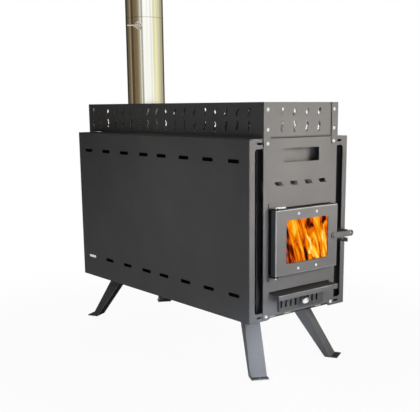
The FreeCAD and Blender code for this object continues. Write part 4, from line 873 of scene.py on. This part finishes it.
world = bpy.data.worlds.new("white_room")
scene.world = world
world.use_nodes = True
tree = world.node_tree
tree.nodes.clear()
direction = add(tree, "TexCoord")
upward = add(tree, "SeparateXYZ", {"Vector": (direction, "Generated")})
dimming = add(tree, "MapRange", {"Value": (upward, "Z"), "From Min": CEILING_FROM, "From Max": CEILING_TO,
                                 "To Min": AMBIENT, "To Max": AMBIENT_ABOVE})
ambient = add(tree, "Background", {"Color": linear(AMBIENT_COLOUR), "Strength": (dimming, "Result")})
white = add(tree, "Background", {"Color": linear(WHITE), "Strength": 1.0})
mixed = add(tree, "MixShader", {"Fac": (seen_directly(tree), "Value"), 1: (ambient, "Background"),
                                2: (white, "Background")})
add(tree, "OutputWorld", {"Surface": (mixed, "Shader")})
print("ambient light from", AMBIENT, "at the walls to", AMBIENT_ABOVE, "above")

# %% [markdown]
# ## Studio: the floor
# A backdrop that sweeps up behind the stove would hide the horizon, but only from one side. The floor
# here is a pale disc. It is lit like any surface, so that it holds the stove's shadow, and towards its
# edge it turns into the same plain white as the room, which hides the horizon all round.

# %% Floor
FLOOR_COLOUR = "#d2d2d0"
FLOOR_RADIUS = 9.0
FLOOR_SIDES = 96
FLOOR_GAP = 0.2
FADE_FROM = 0.3
FADE_TO = 1.3
WHITE_SHARE_NEAR = 0.95

pale, tree = new_material("pale_studio_floor")
place = add(tree, "TexCoord")
flat = add(tree, "Mapping", {"Vector": (place, "Object"), "Scale": (1.0, 1.0, 0.0)})
reach = add(tree, "VectorMath", {0: (flat, "Vector")}, operation="LENGTH")
fade = add(tree, "MapRange", {"Value": (reach, "Value"), "From Min": FADE_FROM, "From Max": FADE_TO,
                              "To Min": WHITE_SHARE_NEAR, "To Max": 1.0}, interpolation_type="SMOOTHSTEP")
share = add(tree, "Math", {0: (fade, "Result"), 1: (seen_directly(tree), "Value")}, operation="MULTIPLY")
lit = add(tree, "BsdfDiffuse", {"Color": linear(FLOOR_COLOUR)})
plain = add(tree, "Emission", {"Color": linear(WHITE), "Strength": 1.0})
mixed = add(tree, "MixShader", {"Fac": (share, "Value"), 1: (lit, "BSDF"), 2: (plain, "Emission")})
add(tree, "OutputMaterial", {"Surface": (mixed, "Shader")})

floor_height = cad_box[0].z - FLOOR_GAP * MM
edge = []
for k in range(FLOOR_SIDES):
    angle = 2 * math.pi * k / FLOOR_SIDES
    edge.append((math.cos(angle) * FLOOR_RADIUS, math.sin(angle) * FLOOR_RADIUS, floor_height))
floor = mesh_piece("floor", edge, [tuple(range(FLOOR_SIDES))], pale)
print("floor of", FLOOR_RADIUS, "m radius")

# %% [markdown]
# ## What the pipe reflects
# Polished metal has no colour of its own to show: it shows the room. In an all-white room the pipe
# would look like paper, so photographers stand dark cards round a chrome piece to give it its bands.
# The bands could be painted on the pipe, but then they would not move as the eye does. So a ring of
# cards stands round the stove, each with its bearings and colours. Bearings are counted in degrees
# from the camera, to its right. Only reflections see the ring: it neither lights nor shades the stove.

# %% Ring of cards
RING_RADIUS = 4.0
RING_HEIGHT = 4.0
RING_PANELS = 72
RING_CARDS = [
    (-180, "#35362e"), (-134, "#35362e"),  # dark olive
    (-130, "#5e5443"), (-108, "#6b5f4c"),  # brown
    (-104, "#8f826c"), (-93, "#8f826c"),  # tan
    (-90, "#4f3f2d"), (-76, "#4f3f2d"),  # dark brown
    (-72, "#6f5f48"), (-50, "#776a53"), (-31, "#b0a58f"),  # brown that fades to beige
    (-27, "#dddbd4"), (-22, "#dddbd4"),  # pale grey
    (-19, "#9c9c98"), (-13, "#9c9c98"),  # grey
    (-10, "#ffffff"), (52, "#ffffff"),  # white
    (57, "#f4f1c8"), (79, "#f4f1c8"),  # pale yellow
    (84, "#dbd6bc"), (101, "#cbc6ac"),  # straw
    (106, "#bbb69b"), (130, "#aaa58b"),  # khaki
    (136, "#4a4842"), (180, "#4a4842"),  # dark grey
]

cards, tree = new_material("painted_cards")
bearing = add(tree, "Attribute", attribute_name="bearing")
stops = [((degrees + 180) / 360, colour) for degrees, colour in RING_CARDS]
painted = add(tree, "ValToRGB", {"Fac": (bearing, "Fac")}, stops=stops)
shown = add(tree, "Emission", {"Color": (painted, "Color"), "Strength": 1.0})
add(tree, "OutputMaterial", {"Surface": (shown, "Emission")})

pipe_corner, far_pipe_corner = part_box("flue_pipe_lower")
pipe_axis = (pipe_corner + far_pipe_corner) / 2
to_camera = math.atan2(VIEWPOINT.y - pipe_axis.y, VIEWPOINT.x - pipe_axis.x)
points = []
turns = []
faces = []
for k in range(RING_PANELS + 1):
    turn = k / RING_PANELS
    angle = to_camera + (turn - 0.5) * 2 * math.pi
    x = pipe_axis.x + math.cos(angle) * RING_RADIUS
    y = pipe_axis.y + math.sin(angle) * RING_RADIUS
    points += [(x, y, 0.0), (x, y, RING_HEIGHT)]
    turns += [turn, turn]
    if k:
        faces.append((2 * k - 2, 2 * k, 2 * k + 1, 2 * k - 1))
ring = mesh_piece("screen_of_cards", points, faces, cards)
mark_points(ring, "bearing", turns)
print(len(RING_CARDS), "stops of colour round the ring")

# %% [markdown]
# ## What the window reflects
# Glass mirrors a little of what stands before it, and a white room would veil the fire. Photographers
# hold a dark card, called a flag, where the glass would mirror the room towards the camera. This one
# is as low as the window needs and shows the ring's dark olive. Like the ring it hides from the camera
# and casts no shadow.

# %% Window flag
FLAG_FROM = (0.25, -1.35)
FLAG_TO = (1.05, -0.85)
FLAG_HEIGHT = 0.42
OLIVE_TURN = 0.0

points = [(x, y, z) for x, y in (FLAG_FROM, FLAG_TO) for z in (0.0, FLAG_HEIGHT)]
flag = mesh_piece("window_flag", points, [(0, 2, 3, 1)], cards)
mark_points(flag, "bearing", [OLIVE_TURN] * len(points))
for card in (ring, flag):
    card.visible_camera = False
    card.visible_diffuse = False
    card.visible_shadow = False
ring.visible_transmission = False
print("a dark flag of", FLAG_HEIGHT, "m before the window")

# %% [markdown]
# ## Light
# One lamp could light the whole stove, but then faces that meet at a corner would differ too little.
# A studio uses several soft lamps, each for one part. The key stands in front, a little to the right
# and hardly higher than the basket: the door side is bright, and the long side and the tops of plates
# stay dark. A cooler low lamp reaches the lower left of the front and the legs, and a narrow one the
# near leg alone. A weak fill lifts the long side, and a lamp behind lights the rear for other views. A
# narrow beam from above falls into the basket, and shows through its holes. No lamp shows in the pipe.

# %% Lamps
def softbox(name, place, aim, size, power, colour, spread=180):
    """A soft lamp: place, aim and size in metres, power in watts, spread of the beam in degrees."""
    lamp = bpy.data.lights.new(name, "AREA")
    lamp.spread = math.radians(spread)
    lamp.shape = "RECTANGLE"
    lamp.size, lamp.size_y = size
    lamp.energy = power
    lamp.color = linear(colour)[:3]
    box = bpy.data.objects.new(name, lamp)
    scene.collection.objects.link(box)
    box.location = place
    box.rotation_euler = (Vector(aim) - Vector(place)).to_track_quat("-Z", "Y").to_euler()
    box.visible_glossy = False
    box.visible_camera = False
    print(name, "of", power, "W at", place)


softbox("key_softbox", place=(0.26, -1.25, 0.70), aim=(-0.08, -0.41, 0.56), size=(0.6, 0.5),
        power=3.6, colour="#fff7ec", spread=75)
softbox("low_softbox", place=(-0.32, -1.26, 0.34), aim=(-0.13, -0.41, 0.18), size=(0.3, 0.25),
        power=3.4, colour="#eaf1ff")
softbox("leg_fill", place=(-0.42, -1.05, 0.14), aim=(-0.13, -0.47, 0.06), size=(0.12, 0.12),
        power=0.23, colour="#e2ecff", spread=25)
softbox("side_fill", place=(-0.66, -0.12, 0.52), aim=(-0.17, -0.12, 0.46), size=(0.4, 0.3),
        power=0.5, colour="#ffffff")
softbox("back_softbox", place=(0.85, 1.45, 0.75), aim=(0.05, 0.25, 0.45), size=(0.8, 0.6),
        power=8.5, colour="#f6f8ff")
softbox("basket_light", place=(-0.55, -0.2, 1.25), aim=(0.17, -0.24, 0.70), size=(0.12, 0.12),
        power=0.55, colour="#fff7ec", spread=24)

# %% [markdown]
# ## Finish
# The view transform is set to Standard, which shows a colour about as it was written.

# %% Finish
scene.view_settings.view_transform = "Standard"
